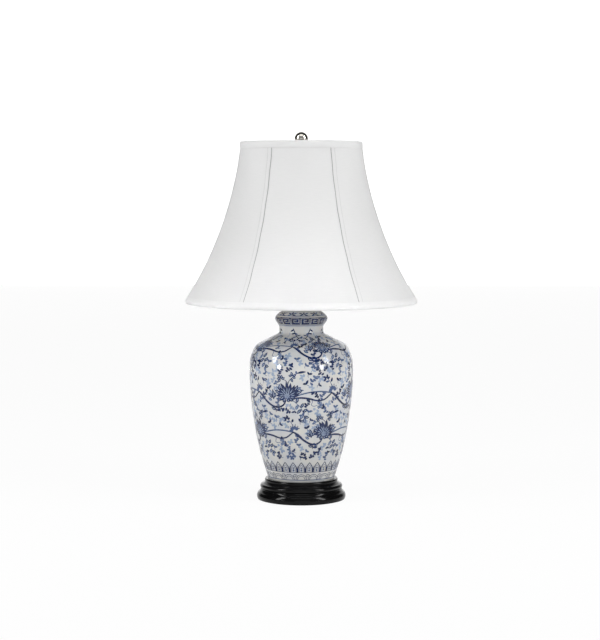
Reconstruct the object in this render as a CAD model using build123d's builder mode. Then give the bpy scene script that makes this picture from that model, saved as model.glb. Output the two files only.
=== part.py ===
from build123d import *
import math
import os

# Ginger jar table lamp: turned wood base, hollow painted jar, lamp pipe, turn-knob
# socket with bulb, harp, and a six-panel bell shade on a wire frame, held by a ball finial.
# Millimetres. +Z is up, -Y is the front, the origin is on the floor at the lamp's axis.

os.makedirs("parts", exist_ok=True)

# ---------------------------------------------------------------- driving dimensions

# Felt pad and turned base
pad_thickness = 1.0
pad_radius = 78.0
base_height = 39.0
base_foot_radius = 83.3
base_bead_radius = 77.0
base_lip_radius = 68.4
base_foot_round = 1.5
base_roll_height = 13.0
base_bead_bottom = 20.5
base_bead_top = 28.5
base_lip_bottom = 32.9
base_recess_radius = 24.0
base_recess_depth = 16.0
jar_seat_depth = 3.0
jar_seat_clearance = 0.5

# Cord inlet: a bushing in the rear of the base
cord_hole_radius = 4.0
cord_hole_height = 6.6
bushing_wall = 1.0
bushing_length = 15.0
bushing_flange_radius = 5.6
bushing_flange_thickness = 1.8

# Lamp pipe and its clamping hardware
pipe_radius = 5.05
pipe_bore_radius = 3.2
pipe_below_nut = 2.2
pipe_clearance = 0.12
washer_radius = 13.0
washer_thickness = 1.6
lock_washer_radius = 8.4
lock_washer_thickness = 1.2
nut_across_flats = 14.3
nut_thickness = 5.0

# Jar, heights above its own foot
jar_wall = 6.0
jar_floor = 8.0
jar_foot_radius = 61.5
jar_calf_radius = 66.2
jar_calf_height = 16.8
jar_flank_radius = 77.4
jar_flank_height = 54.6
jar_waist_radius = 88.5
jar_waist_height = 111.3
jar_belly_radius = 96.8
jar_belly_below_shoulder = 36.0
jar_shoulder_radius = 90.9
jar_shoulder_below_slope = 14.3
jar_slope_radius = 80.6
jar_slope_height = 255.3
jar_slope_angle = 27.0
jar_neck_radius = 41.3
jar_neck_above_slope = 23.2
jar_neck_length = 7.5
jar_lip_radius = 48.9
jar_lip_above_neck = 17.0
jar_dome_radius = 40.6
jar_dome_above_lip = 10.5
jar_crown_above_dome = 5.5
jar_top_flat_radius = 26.0
jar_top_hole_radius = 11.0
jar_floor_hole_radius = 6.5

# Metal neck between the jar and the socket
cap_radius = 24.0
cap_height = 7.0
cap_boss_radius = 9.5
cap_wall = 1.2
neck_tube_radius = 8.0
neck_tube_wall = 1.2
neck_tube_length = 28.0
check_ring_radius = 13.0
check_ring_thickness = 3.0

# Harp saddle
saddle_thickness = 1.5
saddle_width = 13.0
saddle_half_span = 26.0
saddle_bend_radius = 6.0
saddle_eye_radius = 9.5
saddle_shoulder_height = 8.0
tongue_width = 4.6
tongue_length = 9.7

# Harp
harp_height = 254.0
harp_wire_radius = 2.0
harp_foot_radius = 2.5
harp_foot_length = 12.0
harp_half_width = 57.0
harp_straight_length = 40.0
harp_widest_start = 88.0
harp_widest_end = 160.0
harp_top_half_width = 22.0
harp_bend_radii = (60.0, 90.0, 150.0, 26.0)
harp_eye_radius = 6.5
sleeve_wall = 1.15
sleeve_length = 16.0
sleeve_collar = 0.7
sleeve_collar_length = 2.5
joint_gap = 0.3

# Swivel stud on top of the harp
stud_shank_radius = 2.6
stud_running_clearance = 0.06
stud_head_radius = 4.2
stud_head_thickness = 1.6
stud_seat_radius = 7.5
stud_seat_thickness = 2.3
stud_thread_radius = 3.1
stud_thread_length = 13.0
stud_end_play = 0.1

# Socket
hub_radius = 8.0
hub_height = 8.0
socket_cap_radius = 17.6
socket_cap_dome_height = 9.0
socket_cap_rim_height = 8.0
socket_cap_wall = 0.8
shell_wall = 0.6
shell_length = 43.0
shell_overlap = 5.5
shell_bead = 0.9
liner_wall = 0.7
liner_set_back = 2.0
socket_fit_gap = 0.2
socket_body_height = 19.0
socket_body_lift = 15.5
terminal_flat = 11.0
terminal_screw_radius = 2.6
terminal_screw_thickness = 1.6
screw_shell_wall = 0.5
screw_shell_height = 25.0
screw_shell_floor_hole = 8.0
contact_width = 5.0
contact_thickness = 0.5
contact_length = 12.0
contact_rise = 1.4
set_screw_radius = 1.6
set_screw_head_radius = 2.7
set_screw_head_thickness = 1.4

# Switch spindle and its turn knob, on a horizontal axis toward the front
spindle_radius = 2.0
spindle_running_clearance = 0.05
spindle_inner_end = 8.0
spindle_height_on_body = 12.0
spindle_wall_clearance = 0.6
knob_inner_face = 21.0
knob_neck_radius = 3.6
knob_neck_length = 6.0
knob_paddle_width = 17.0
knob_paddle_thickness = 4.4
knob_paddle_depth = 10.0

# Bulb
bulb_base_radius = 13.0
bulb_thread_gap = 0.35
bulb_base_height = 18.0
bulb_base_wall = 0.5
bulb_insulator_height = 3.5
bulb_contact_radius = 4.2
bulb_contact_height = 1.9
bulb_radius = 30.0
bulb_length = 110.0
bulb_neck_radius = 12.3
bulb_glass_wall = 0.9
bulb_neck_overlap = 5.0

# Shade: a six-sided bell on a wire frame
shade_height = 299.8
shade_top_radius = 113.3
shade_bottom_radius = 215.0
shade_collar_height = 17.8
shade_hem_height = 6.0
shade_bell_sag = 15.5
shade_sides = 6
panel_flattening = 0.055
panel_sections = 8
fabric_thickness = 0.8
fabric_gap = 0.1
frame_wire_radius = 1.6
rib_wire_radius = 1.2
rib_weld_radius = 1.26
rib_clearance = 0.4
lining_thickness = 0.5
lining_stand_off = 3.5
trim_height = 13.0
trim_thickness = 0.5
trim_edge_radius = 1.4
strip_width = 8.5
strip_thickness = 0.45

# Spider: a washer and three arms that hang it below the top ring
spider_hub_radius = 12.0
spider_hub_thickness = 2.0
spider_hub_bore_radius = 3.4
spider_arm_angles = (30, 150, 270)
spider_arm_flat = 20.0
spider_arm_bend_radius = 14.0

# Finial
finial_ball_radius = 12.7
finial_height = 35.6
finial_flange_radius = 7.6
finial_flange_thickness = 2.4
finial_waist_radius = 4.9
finial_collar_radius = 6.4
finial_collar_height = 2.4
finial_bore_radius = 3.4
finial_bore_depth = 13.6

# ---------------------------------------------------------------- heights of the stack

base_bottom = pad_thickness
base_top = base_bottom + base_height
recess_ceiling = base_bottom + base_recess_depth
lock_washer_top = recess_ceiling - washer_thickness
nut_top = lock_washer_top - lock_washer_thickness
pipe_bottom = nut_top - nut_thickness - pipe_below_nut
jar_foot = base_top - jar_seat_depth
jar_shoulder_height = jar_slope_height - jar_shoulder_below_slope
jar_belly_height = jar_shoulder_height - jar_belly_below_shoulder
jar_neck_bottom = jar_slope_height + jar_neck_above_slope
jar_neck_top = jar_neck_bottom + jar_neck_length
jar_lip_height = jar_neck_top + jar_lip_above_neck
jar_dome_height = jar_lip_height + jar_dome_above_lip
jar_height = jar_dome_height + jar_crown_above_dome
jar_top = jar_foot + jar_height
neck_tube_bottom = jar_top + cap_height
check_ring_bottom = neck_tube_bottom + neck_tube_length
saddle_bottom = check_ring_bottom + check_ring_thickness
socket_bottom = saddle_bottom + saddle_thickness
hub_top = socket_bottom + hub_height
pipe_top = hub_top - 1.0
cap_rim_bottom = hub_top + socket_cap_dome_height
cap_rim_top = cap_rim_bottom + socket_cap_rim_height
shell_bottom = cap_rim_top - shell_overlap
shell_top = shell_bottom + shell_length
socket_body_bottom = socket_bottom + socket_body_lift
socket_body_top = socket_body_bottom + socket_body_height
spindle_height = socket_body_bottom + spindle_height_on_body
screw_shell_top = socket_body_top + screw_shell_height
bulb_bottom = socket_body_top + screw_shell_wall + contact_rise + contact_thickness + joint_gap
bulb_insulator_bottom = bulb_bottom + bulb_contact_height
bulb_base_bottom = bulb_insulator_bottom + bulb_insulator_height
bulb_base_top = bulb_base_bottom + bulb_base_height
bulb_top = bulb_bottom + bulb_length
saddle_shoulder = saddle_bottom + saddle_shoulder_height
tongue_top = saddle_shoulder + tongue_length
harp_foot_bottom = tongue_top + joint_gap
spider_seat = saddle_bottom + harp_height
stud_seat_bottom = spider_seat - stud_seat_thickness
harp_top_centre = stud_seat_bottom - stud_end_play - harp_wire_radius
harp_eye_bottom = harp_top_centre - harp_wire_radius
spider_top = spider_seat + spider_hub_thickness
ball_centre = spider_top + finial_height - finial_ball_radius
shade_top = ball_centre - 5.0
shade_bottom = shade_top - shade_height
bell_head = shade_top - shade_collar_height
top_ring_height = shade_top - trim_thickness - frame_wire_radius - fabric_gap
bottom_ring_height = shade_bottom + trim_thickness + frame_wire_radius + fabric_gap
bell_foot = shade_bottom + shade_hem_height

# ---------------------------------------------------------------- the bell curve

# A rib follows one circular arc, hollow outward, between the upright hem and collar.
head_point = Vector(shade_top_radius, bell_head)
foot_point = Vector(shade_bottom_radius, bell_foot)
bell_chord = head_point - foot_point
bell_arc_radius = bell_chord.length ** 2 / (8 * shade_bell_sag) + shade_bell_sag / 2
bell_outward = Vector(bell_chord.Y, -bell_chord.X).normalized()
bell_centre = (head_point + foot_point) / 2 + bell_outward * (bell_arc_radius - shade_bell_sag)


def bell_radius(height):
    """Outer radius of the fabric over a rib."""
    if height >= bell_head:
        return shade_top_radius
    if height <= bell_foot:
        return shade_bottom_radius
    return bell_centre.X - math.sqrt(bell_arc_radius ** 2 - (height - bell_centre.Y) ** 2)


def panel_mid_radius(height):
    """Outer radius in the middle of a panel: the stretched cloth lies flatter between ribs."""
    share = min(max((height - bell_foot) / (bell_head - bell_foot), 0), 1)
    return bell_radius(height) * (1 - panel_flattening * math.sin(math.pi * share))


half_side = math.radians(180 / shade_sides)


def panel_arc(height):
    """Arc radius, arc centre distance and half arc angle of a panel's outer section."""
    rib = bell_radius(height)
    rise = panel_mid_radius(height) - rib * math.cos(half_side)
    half_chord = rib * math.sin(half_side)
    arc_radius = (half_chord ** 2 + rise ** 2) / (2 * rise)
    return arc_radius, panel_mid_radius(height) - arc_radius, math.asin(half_chord / arc_radius)


def panel_point(height, panel_angle, turn, outset):
    """Point on a panel's section, at an angle about its arc centre, pushed outward by outset."""
    arc_radius, centre_distance, _ = panel_arc(height)
    direction = math.radians(panel_angle)
    swing = direction + turn
    reach = arc_radius + outset
    return (
        centre_distance * math.cos(direction) + reach * math.cos(swing),
        centre_distance * math.sin(direction) + reach * math.sin(swing),
    )


def radial_plane(angle):
    """Upright plane through the axis, its X running outward at this angle."""
    outward = math.radians(angle)
    return Plane(
        origin=(0, 0, 0),
        x_dir=(math.cos(outward), math.sin(outward), 0),
        z_dir=(math.sin(outward), -math.cos(outward), 0),
    )


# ---------------------------------------------------------------- base

with BuildPart() as base_pad:
    with BuildSketch():
        Circle(pad_radius)
    extrude(amount=pad_thickness)
base_pad.part.label = "base_pad"
export_step(base_pad.part, "parts/base_pad.step")

cord_hole_centre = base_bottom + cord_hole_height
bushing_seat_y = base_foot_radius - bushing_flange_thickness

with BuildPart() as wood_base:
    with BuildSketch(Plane.XZ):
        with BuildLine():
            roll_top = base_bottom + base_roll_height
            Line((0, base_bottom), (base_foot_radius - base_foot_round, base_bottom))
            ThreePointArc(
                (base_foot_radius - base_foot_round, base_bottom),
                (base_foot_radius, base_bottom + base_roll_height * 0.4),
                (base_foot_radius - 2.7, roll_top),
            )
            ThreePointArc(
                (base_foot_radius - 2.7, roll_top),
                (base_bead_radius + 0.6, base_bottom + 15.5),
                (base_bead_radius - 0.9, base_bottom + base_bead_bottom - 0.8),
            )
            Line(
                (base_bead_radius - 0.9, base_bottom + base_bead_bottom - 0.8),
                (base_bead_radius - 1.7, base_bottom + base_bead_bottom),
            )
            ThreePointArc(
                (base_bead_radius - 1.7, base_bottom + base_bead_bottom),
                (base_bead_radius, base_bottom + (base_bead_bottom + base_bead_top) / 2),
                (base_bead_radius - 2.4, base_bottom + base_bead_top),
            )
            ThreePointArc(
                (base_bead_radius - 2.4, base_bottom + base_bead_top),
                (base_lip_radius + 1.6, base_bottom + base_bead_top + 2.2),
                (base_lip_radius - 0.9, base_bottom + base_lip_bottom),
            )
            ThreePointArc(
                (base_lip_radius - 0.9, base_bottom + base_lip_bottom),
                (base_lip_radius, base_bottom + (base_lip_bottom + base_height) / 2),
                (base_lip_radius - 1.4, base_top),
            )
            Line((base_lip_radius - 1.4, base_top), (0, base_top))
            Line((0, base_top), (0, base_bottom))
        make_face()
    revolve(axis=Axis.Z)
    with BuildSketch(Plane.XY.offset(base_top)):
        Circle(jar_foot_radius + jar_seat_clearance)
    extrude(amount=-jar_seat_depth, mode=Mode.SUBTRACT)
    with BuildSketch(Plane.XY.offset(base_bottom)):
        Circle(base_recess_radius)
    extrude(amount=base_recess_depth, mode=Mode.SUBTRACT)
    with BuildSketch(Plane.XY.offset(base_bottom)):
        Circle(pipe_radius + pipe_clearance)
    extrude(amount=base_height, mode=Mode.SUBTRACT)
    with BuildSketch(Plane.XZ.offset(-base_foot_radius - 1)):
        with Locations((0, cord_hole_centre)):
            Circle(cord_hole_radius)
    extrude(amount=base_foot_radius + 1 - base_recess_radius / 2, mode=Mode.SUBTRACT)
    with BuildSketch(Plane.XZ.offset(-bushing_seat_y)):
        with Locations((0, cord_hole_centre)):
            Circle(bushing_flange_radius + fabric_gap)
    extrude(amount=-bushing_flange_thickness * 2, mode=Mode.SUBTRACT)
wood_base.part.label = "wood_base"
export_step(wood_base.part, "parts/wood_base.step")

with BuildPart() as cord_bushing:
    with BuildSketch(Plane.XZ.offset(-bushing_seat_y)):
        with Locations((0, cord_hole_centre)):
            Circle(bushing_flange_radius)
    extrude(amount=-bushing_flange_thickness)
    fillet(cord_bushing.edges().group_by(Axis.Y)[-1], bushing_flange_thickness / 3)
    with BuildSketch(Plane.XZ.offset(-bushing_seat_y)):
        with Locations((0, cord_hole_centre)):
            Circle(cord_hole_radius - fabric_gap)
    extrude(amount=bushing_length)
    with BuildSketch(Plane.XZ.offset(-bushing_seat_y - bushing_flange_thickness)):
        with Locations((0, cord_hole_centre)):
            Circle(cord_hole_radius - fabric_gap - bushing_wall)
    extrude(amount=bushing_length + bushing_flange_thickness, mode=Mode.SUBTRACT)
cord_bushing.part.label = "cord_bushing"
export_step(cord_bushing.part, "parts/cord_bushing.step")

# ---------------------------------------------------------------- pipe and clamp

with BuildPart() as base_washer:
    with BuildSketch(Plane.XY.offset(lock_washer_top)):
        Circle(washer_radius)
        Circle(pipe_radius + pipe_clearance, mode=Mode.SUBTRACT)
    extrude(amount=washer_thickness)
base_washer.part.label = "base_washer"
export_step(base_washer.part, "parts/base_washer.step")

with BuildPart() as lock_washer:
    with BuildSketch(Plane.XY.offset(nut_top)):
        Circle(lock_washer_radius)
        Circle(pipe_radius + pipe_clearance, mode=Mode.SUBTRACT)
        with Locations((lock_washer_radius, 0)):
            Rectangle(lock_washer_radius, 1.2, rotation=25, mode=Mode.SUBTRACT)
    extrude(amount=lock_washer_thickness)
lock_washer.part.label = "lock_washer"
export_step(lock_washer.part, "parts/lock_washer.step")

with BuildPart() as base_nut:
    with BuildSketch(Plane.XY.offset(nut_top)):
        RegularPolygon(nut_across_flats / 2, 6, major_radius=False)
        Circle(pipe_radius + pipe_clearance, mode=Mode.SUBTRACT)
    extrude(amount=-nut_thickness)
base_nut.part.label = "base_nut"
export_step(base_nut.part, "parts/base_nut.step")

with BuildPart() as lamp_pipe:
    with BuildSketch(Plane.XY.offset(pipe_bottom)):
        Circle(pipe_radius)
        Circle(pipe_bore_radius, mode=Mode.SUBTRACT)
    extrude(amount=pipe_top - pipe_bottom)
lamp_pipe.part.label = "lamp_pipe"
export_step(lamp_pipe.part, "parts/lamp_pipe.step")

# ---------------------------------------------------------------- jar

slope_direction = (
    -math.cos(math.radians(jar_slope_angle)),
    math.sin(math.radians(jar_slope_angle)),
)


def jar_outline(inset, bottom, top_radius, top):
    """Half outline of the jar, from its floor to its top, pushed inward by inset."""
    slope_run = (jar_slope_radius - jar_neck_radius) * 0.78
    slope_rise = slope_run * math.tan(math.radians(jar_slope_angle))
    slope_end = (
        jar_slope_radius - slope_run - inset,
        jar_foot + jar_slope_height + slope_rise - inset * 0.6,
    )
    neck_low = (jar_neck_radius - inset, jar_foot + jar_neck_bottom)
    neck_high = (jar_neck_radius - inset, jar_foot + jar_neck_top)
    belly = (jar_belly_radius - inset, jar_foot + jar_belly_height)
    slope_start = (jar_slope_radius - inset, jar_foot + jar_slope_height - inset * 0.6)
    lip = (jar_lip_radius - inset, jar_foot + jar_lip_height)
    dome = (jar_dome_radius - inset, jar_foot + jar_dome_height - inset * 0.8)
    foot = (jar_foot_radius - inset, bottom)
    Line((0, bottom), foot)
    Spline(
        foot,
        (jar_calf_radius - inset, jar_foot + jar_calf_height),
        (jar_flank_radius - inset, jar_foot + jar_flank_height),
        (jar_waist_radius - inset, jar_foot + jar_waist_height),
        belly,
        tangents=[(0.1, 1), (0, 1)],
    )
    Spline(
        belly,
        (jar_shoulder_radius - inset, jar_foot + jar_shoulder_height),
        slope_start,
        tangents=[(0, 1), slope_direction],
    )
    Line(slope_start, slope_end)
    Spline(slope_end, neck_low, tangents=[slope_direction, (0, 1)])
    Line(neck_low, neck_high)
    Spline(neck_high, lip, tangents=[(0, 1), (0, 1)])
    Spline(lip, dome, (top_radius, top), tangents=[(0, 1), (-1, 0)])
    Line((top_radius, top), (0, top))
    Line((0, top), (0, bottom))


with BuildPart() as jar:
    with BuildSketch(Plane.XZ):
        with BuildLine():
            jar_outline(0, jar_foot, jar_top_flat_radius, jar_top)
        make_face()
    revolve(axis=Axis.Z)
    with BuildSketch(Plane.XZ):
        with BuildLine():
            jar_outline(jar_wall, jar_foot + jar_floor, jar_top_flat_radius - jar_wall, jar_top - jar_wall)
        make_face()
    revolve(axis=Axis.Z, mode=Mode.SUBTRACT)
    with BuildSketch(Plane.XY.offset(jar_top)):
        Circle(jar_top_hole_radius)
    extrude(amount=-jar_wall * 2, mode=Mode.SUBTRACT)
    with BuildSketch(Plane.XY.offset(jar_foot)):
        Circle(jar_floor_hole_radius)
    extrude(amount=jar_floor * 1.5, mode=Mode.SUBTRACT)
jar.part.label = "jar"
export_step(jar.part, "parts/jar.step")

# ---------------------------------------------------------------- metal neck

with BuildPart() as vase_cap:
    with BuildSketch(Plane.XZ):
        with BuildLine():
            cap_top = jar_top + cap_height
            Line((pipe_radius + pipe_clearance, cap_top), (cap_boss_radius, cap_top))
            Line((cap_boss_radius, cap_top), (cap_boss_radius, cap_top - 1.6))
            ThreePointArc(
                (cap_boss_radius, cap_top - 1.6),
                (cap_radius * 0.76, cap_top - 3.1),
                (cap_radius, jar_top),
            )
            Line((cap_radius, jar_top), (cap_radius - cap_wall, jar_top))
            ThreePointArc(
                (cap_radius - cap_wall, jar_top),
                (cap_radius * 0.76 - cap_wall * 0.7, cap_top - 3.1 - cap_wall),
                (cap_boss_radius - cap_wall, cap_top - 1.6 - cap_wall),
            )
            Line(
                (cap_boss_radius - cap_wall, cap_top - 1.6 - cap_wall),
                (pipe_radius + pipe_clearance, cap_top - 1.6 - cap_wall),
            )
            Line(
                (pipe_radius + pipe_clearance, cap_top - 1.6 - cap_wall),
                (pipe_radius + pipe_clearance, cap_top),
            )
        make_face()
    revolve(axis=Axis.Z)
vase_cap.part.label = "vase_cap"
export_step(vase_cap.part, "parts/vase_cap.step")

with BuildPart() as neck_tube:
    with BuildSketch(Plane.XY.offset(neck_tube_bottom)):
        Circle(neck_tube_radius)
        Circle(neck_tube_radius - neck_tube_wall, mode=Mode.SUBTRACT)
    extrude(amount=neck_tube_length)
neck_tube.part.label = "neck_tube"
export_step(neck_tube.part, "parts/neck_tube.step")

with BuildPart() as check_ring:
    with BuildSketch(Plane.XY.offset(check_ring_bottom)):
        Circle(check_ring_radius)
    extrude(amount=check_ring_thickness)
    fillet(check_ring.edges(), check_ring_thickness * 0.45)
    with BuildSketch(Plane.XY.offset(check_ring_bottom)):
        Circle(pipe_radius + pipe_clearance)
    extrude(amount=check_ring_thickness, mode=Mode.SUBTRACT)
check_ring.part.label = "check_ring"
export_step(check_ring.part, "parts/check_ring.step")

# ---------------------------------------------------------------- harp saddle

with BuildPart() as harp_saddle:
    saddle_line = saddle_bottom + saddle_thickness / 2
    with BuildSketch(Plane.XZ):
        with BuildLine():
            FilletPolyline(
                (-saddle_half_span, tongue_top),
                (-saddle_half_span, saddle_line),
                (saddle_half_span, saddle_line),
                (saddle_half_span, tongue_top),
                radius=saddle_bend_radius,
            )
        trace(line_width=saddle_thickness)
    extrude(amount=saddle_width / 2, both=True)
    with BuildSketch(Plane.XY.offset(saddle_shoulder)):
        with GridLocations(2 * saddle_half_span, tongue_width + saddle_width, 2, 2):
            Rectangle(4 * saddle_thickness, saddle_width)
    extrude(amount=tongue_length, mode=Mode.SUBTRACT)
    with BuildSketch(Plane.XY.offset(saddle_bottom)):
        Circle(saddle_eye_radius)
    extrude(amount=saddle_thickness)
    with BuildSketch(Plane.XY.offset(saddle_bottom)):
        Circle(pipe_radius + pipe_clearance)
    extrude(amount=saddle_thickness, mode=Mode.SUBTRACT)
harp_saddle.part.label = "harp_saddle"
export_step(harp_saddle.part, "parts/harp_saddle.step")

# ---------------------------------------------------------------- socket

cap_bore = pipe_radius + pipe_clearance
shell_radius = socket_cap_radius - socket_cap_wall - socket_fit_gap
liner_radius = shell_radius - shell_wall - socket_fit_gap
body_radius = liner_radius - liner_wall - socket_fit_gap
screw_shell_bore = bulb_base_radius + bulb_thread_gap
set_screw_height = socket_bottom + hub_height * 0.55

with BuildPart() as socket_cap:
    with BuildSketch(Plane.XZ):
        with BuildLine():
            dome_mid = hub_top + socket_cap_dome_height * 0.38
            Line((cap_bore, socket_bottom), (hub_radius, socket_bottom))
            Line((hub_radius, socket_bottom), (hub_radius, hub_top))
            ThreePointArc(
                (hub_radius, hub_top),
                (hub_radius + (socket_cap_radius - hub_radius) * 0.62, dome_mid),
                (socket_cap_radius, cap_rim_bottom),
            )
            Line((socket_cap_radius, cap_rim_bottom), (socket_cap_radius, cap_rim_top))
            Line(
                (socket_cap_radius, cap_rim_top),
                (socket_cap_radius - socket_cap_wall, cap_rim_top),
            )
            Line(
                (socket_cap_radius - socket_cap_wall, cap_rim_top),
                (socket_cap_radius - socket_cap_wall, cap_rim_bottom),
            )
            ThreePointArc(
                (socket_cap_radius - socket_cap_wall, cap_rim_bottom),
                (
                    hub_radius + (socket_cap_radius - hub_radius) * 0.62 - socket_cap_wall * 0.75,
                    dome_mid + socket_cap_wall,
                ),
                (hub_radius - socket_cap_wall, hub_top + socket_cap_wall),
            )
            Line((hub_radius - socket_cap_wall, hub_top + socket_cap_wall), (cap_bore, hub_top + socket_cap_wall))
            Line((cap_bore, hub_top + socket_cap_wall), (cap_bore, socket_bottom))
        make_face()
    revolve(axis=Axis.Z)
    with BuildSketch(Plane.XZ):
        with Locations((0, set_screw_height)):
            Circle(set_screw_radius + pipe_clearance)
    extrude(amount=-hub_radius * 2, mode=Mode.SUBTRACT)
socket_cap.part.label = "socket_cap"
export_step(socket_cap.part, "parts/socket_cap.step")

with BuildPart() as set_screw:
    with BuildSketch(Plane.XZ.offset(-cap_bore)):
        with Locations((0, set_screw_height)):
            Circle(set_screw_radius)
    extrude(amount=-(hub_radius - cap_bore + pipe_clearance))
    with BuildSketch(Plane.XZ.offset(-(hub_radius + pipe_clearance))):
        with Locations((0, set_screw_height)):
            Circle(set_screw_head_radius)
    extrude(amount=-set_screw_head_thickness)
    with BuildSketch(Plane.XZ.offset(-(hub_radius + pipe_clearance + set_screw_head_thickness))):
        with Locations((0, set_screw_height)):
            Rectangle(set_screw_head_radius * 2.2, 0.8)
    extrude(amount=set_screw_head_thickness / 2, mode=Mode.SUBTRACT)
set_screw.part.label = "set_screw"
export_step(set_screw.part, "parts/set_screw.step")

with BuildPart() as socket_shell:
    with BuildSketch(Plane.XZ):
        with BuildLine():
            bead_low = shell_top - 2 * shell_bead
            Line((shell_radius - shell_wall, shell_bottom), (shell_radius, shell_bottom))
            Line((shell_radius, shell_bottom), (shell_radius, bead_low))
            ThreePointArc(
                (shell_radius, bead_low),
                (shell_radius + shell_bead, shell_top - shell_bead),
                (shell_radius, shell_top),
            )
            Line((shell_radius, shell_top), (shell_radius - shell_wall, shell_top))
            Line((shell_radius - shell_wall, shell_top), (shell_radius - shell_wall, shell_bottom))
        make_face()
    revolve(axis=Axis.Z)
    with BuildSketch(Plane.XZ):
        with Locations((0, spindle_height)):
            Circle(spindle_radius + spindle_wall_clearance)
    extrude(amount=shell_radius * 2, mode=Mode.SUBTRACT)
socket_shell.part.label = "socket_shell"
export_step(socket_shell.part, "parts/socket_shell.step")

with BuildPart() as socket_liner:
    with BuildSketch(Plane.XY.offset(shell_bottom + liner_set_back)):
        Circle(liner_radius)
        Circle(liner_radius - liner_wall, mode=Mode.SUBTRACT)
    extrude(amount=shell_length - 2 * liner_set_back)
    with BuildSketch(Plane.XZ):
        with Locations((0, spindle_height)):
            Circle(spindle_radius + spindle_wall_clearance)
    extrude(amount=shell_radius * 2, mode=Mode.SUBTRACT)
socket_liner.part.label = "socket_liner"
export_step(socket_liner.part, "parts/socket_liner.step")

with BuildPart() as socket_body:
    with BuildSketch(Plane.XY.offset(socket_body_bottom)):
        Circle(body_radius)
    extrude(amount=socket_body_height)
    chamfer(socket_body.edges().group_by(Axis.Z)[0], 3.0)
    with BuildSketch(Plane.XY.offset(socket_body_bottom)):
        with GridLocations(2 * (terminal_flat + body_radius), 1, 2, 1):
            Rectangle(2 * body_radius, 2 * body_radius)
    extrude(amount=socket_body_height * 0.75, mode=Mode.SUBTRACT)
    with BuildSketch(Plane.XZ.offset(spindle_inner_end - 1)):
        with Locations((0, spindle_height)):
            Circle(spindle_radius + spindle_running_clearance)
    extrude(amount=body_radius, mode=Mode.SUBTRACT)
socket_body.part.label = "socket_body"
export_step(socket_body.part, "parts/socket_body.step")

with BuildPart() as terminal_screws:
    screw_height = socket_body_bottom + socket_body_height * 0.45
    for side in (-1, 1):
        with BuildSketch(Plane.YZ.offset(side * terminal_flat)):
            with Locations((0, screw_height)):
                Circle(terminal_screw_radius)
        extrude(amount=side * terminal_screw_thickness)
        with BuildSketch(Plane.YZ.offset(side * (terminal_flat + terminal_screw_thickness))):
            with Locations((0, screw_height)):
                Rectangle(0.7, terminal_screw_radius * 2.2, rotation=20)
        extrude(amount=-side * terminal_screw_thickness / 2, mode=Mode.SUBTRACT)
terminal_screws.part.label = "terminal_screws"
export_step(terminal_screws.part, "parts/terminal_screws.step")

with BuildPart() as screw_shell:
    with BuildSketch(Plane.XY.offset(socket_body_top)):
        Circle(screw_shell_bore + screw_shell_wall)
        Circle(screw_shell_floor_hole, mode=Mode.SUBTRACT)
    extrude(amount=screw_shell_wall)
    with BuildSketch(Plane.XY.offset(socket_body_top)):
        Circle(screw_shell_bore + screw_shell_wall)
        Circle(screw_shell_bore, mode=Mode.SUBTRACT)
    extrude(amount=screw_shell_height)
screw_shell.part.label = "screw_shell"
export_step(screw_shell.part, "parts/screw_shell.step")

with BuildPart() as centre_contact:
    with BuildSketch(Plane.XZ):
        with BuildLine():
            contact_line = socket_body_top + contact_thickness / 2
            FilletPolyline(
                (-contact_length / 2, contact_line),
                (-contact_length / 4, contact_line),
                (0, contact_line + screw_shell_wall + contact_rise),
                (contact_length / 4, contact_line + screw_shell_wall + contact_rise),
                radius=1.0,
            )
        trace(line_width=contact_thickness)
    extrude(amount=contact_width / 2, both=True)
centre_contact.part.label = "centre_contact"
export_step(centre_contact.part, "parts/centre_contact.step")

# ---------------------------------------------------------------- switch

with BuildPart() as switch_spindle:
    with BuildSketch(Plane.XZ.offset(spindle_inner_end)):
        with Locations((0, spindle_height)):
            Circle(spindle_radius)
    extrude(amount=knob_inner_face + knob_neck_length - spindle_inner_end)
switch_spindle.part.label = "switch_spindle"
export_step(switch_spindle.part, "parts/switch_spindle.step")

with BuildPart() as switch_knob:
    paddle_centre_y = -(knob_inner_face + knob_neck_length + knob_paddle_depth / 2)
    with BuildSketch(Plane.XY.offset(spindle_height)):
        with Locations((0, paddle_centre_y)):
            RectangleRounded(knob_paddle_width, knob_paddle_depth, knob_paddle_depth * 0.45)
    extrude(amount=knob_paddle_thickness / 2, both=True)
    fillet(switch_knob.edges().group_by(Axis.Z)[0], knob_paddle_thickness * 0.4)
    fillet(switch_knob.edges().group_by(Axis.Z)[-1], knob_paddle_thickness * 0.4)
    with BuildSketch(Plane.XZ.offset(knob_inner_face)):
        with Locations((0, spindle_height)):
            Circle(knob_neck_radius)
    extrude(amount=knob_neck_length + knob_paddle_depth / 3)
    with BuildSketch(Plane.XZ.offset(knob_inner_face)):
        with Locations((0, spindle_height)):
            Circle(spindle_radius + pipe_clearance)
    extrude(amount=knob_neck_length, mode=Mode.SUBTRACT)
switch_knob.part.label = "switch_knob"
export_step(switch_knob.part, "parts/switch_knob.step")

# ---------------------------------------------------------------- bulb

with BuildPart() as bulb_contact:
    with BuildSketch(Plane.XY.offset(bulb_bottom)):
        Circle(bulb_contact_radius)
    extrude(amount=bulb_contact_height)
    fillet(bulb_contact.edges().group_by(Axis.Z)[0], bulb_contact_height / 2)
bulb_contact.part.label = "bulb_contact"
export_step(bulb_contact.part, "parts/bulb_contact.step")

with BuildPart() as bulb_insulator:
    with BuildSketch(Plane.XY.offset(bulb_insulator_bottom)):
        Circle(bulb_contact_radius + 1.2)
    with BuildSketch(Plane.XY.offset(bulb_base_bottom)):
        Circle(bulb_base_radius - 1.0)
    loft()
bulb_insulator.part.label = "bulb_insulator"
export_step(bulb_insulator.part, "parts/bulb_insulator.step")

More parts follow.
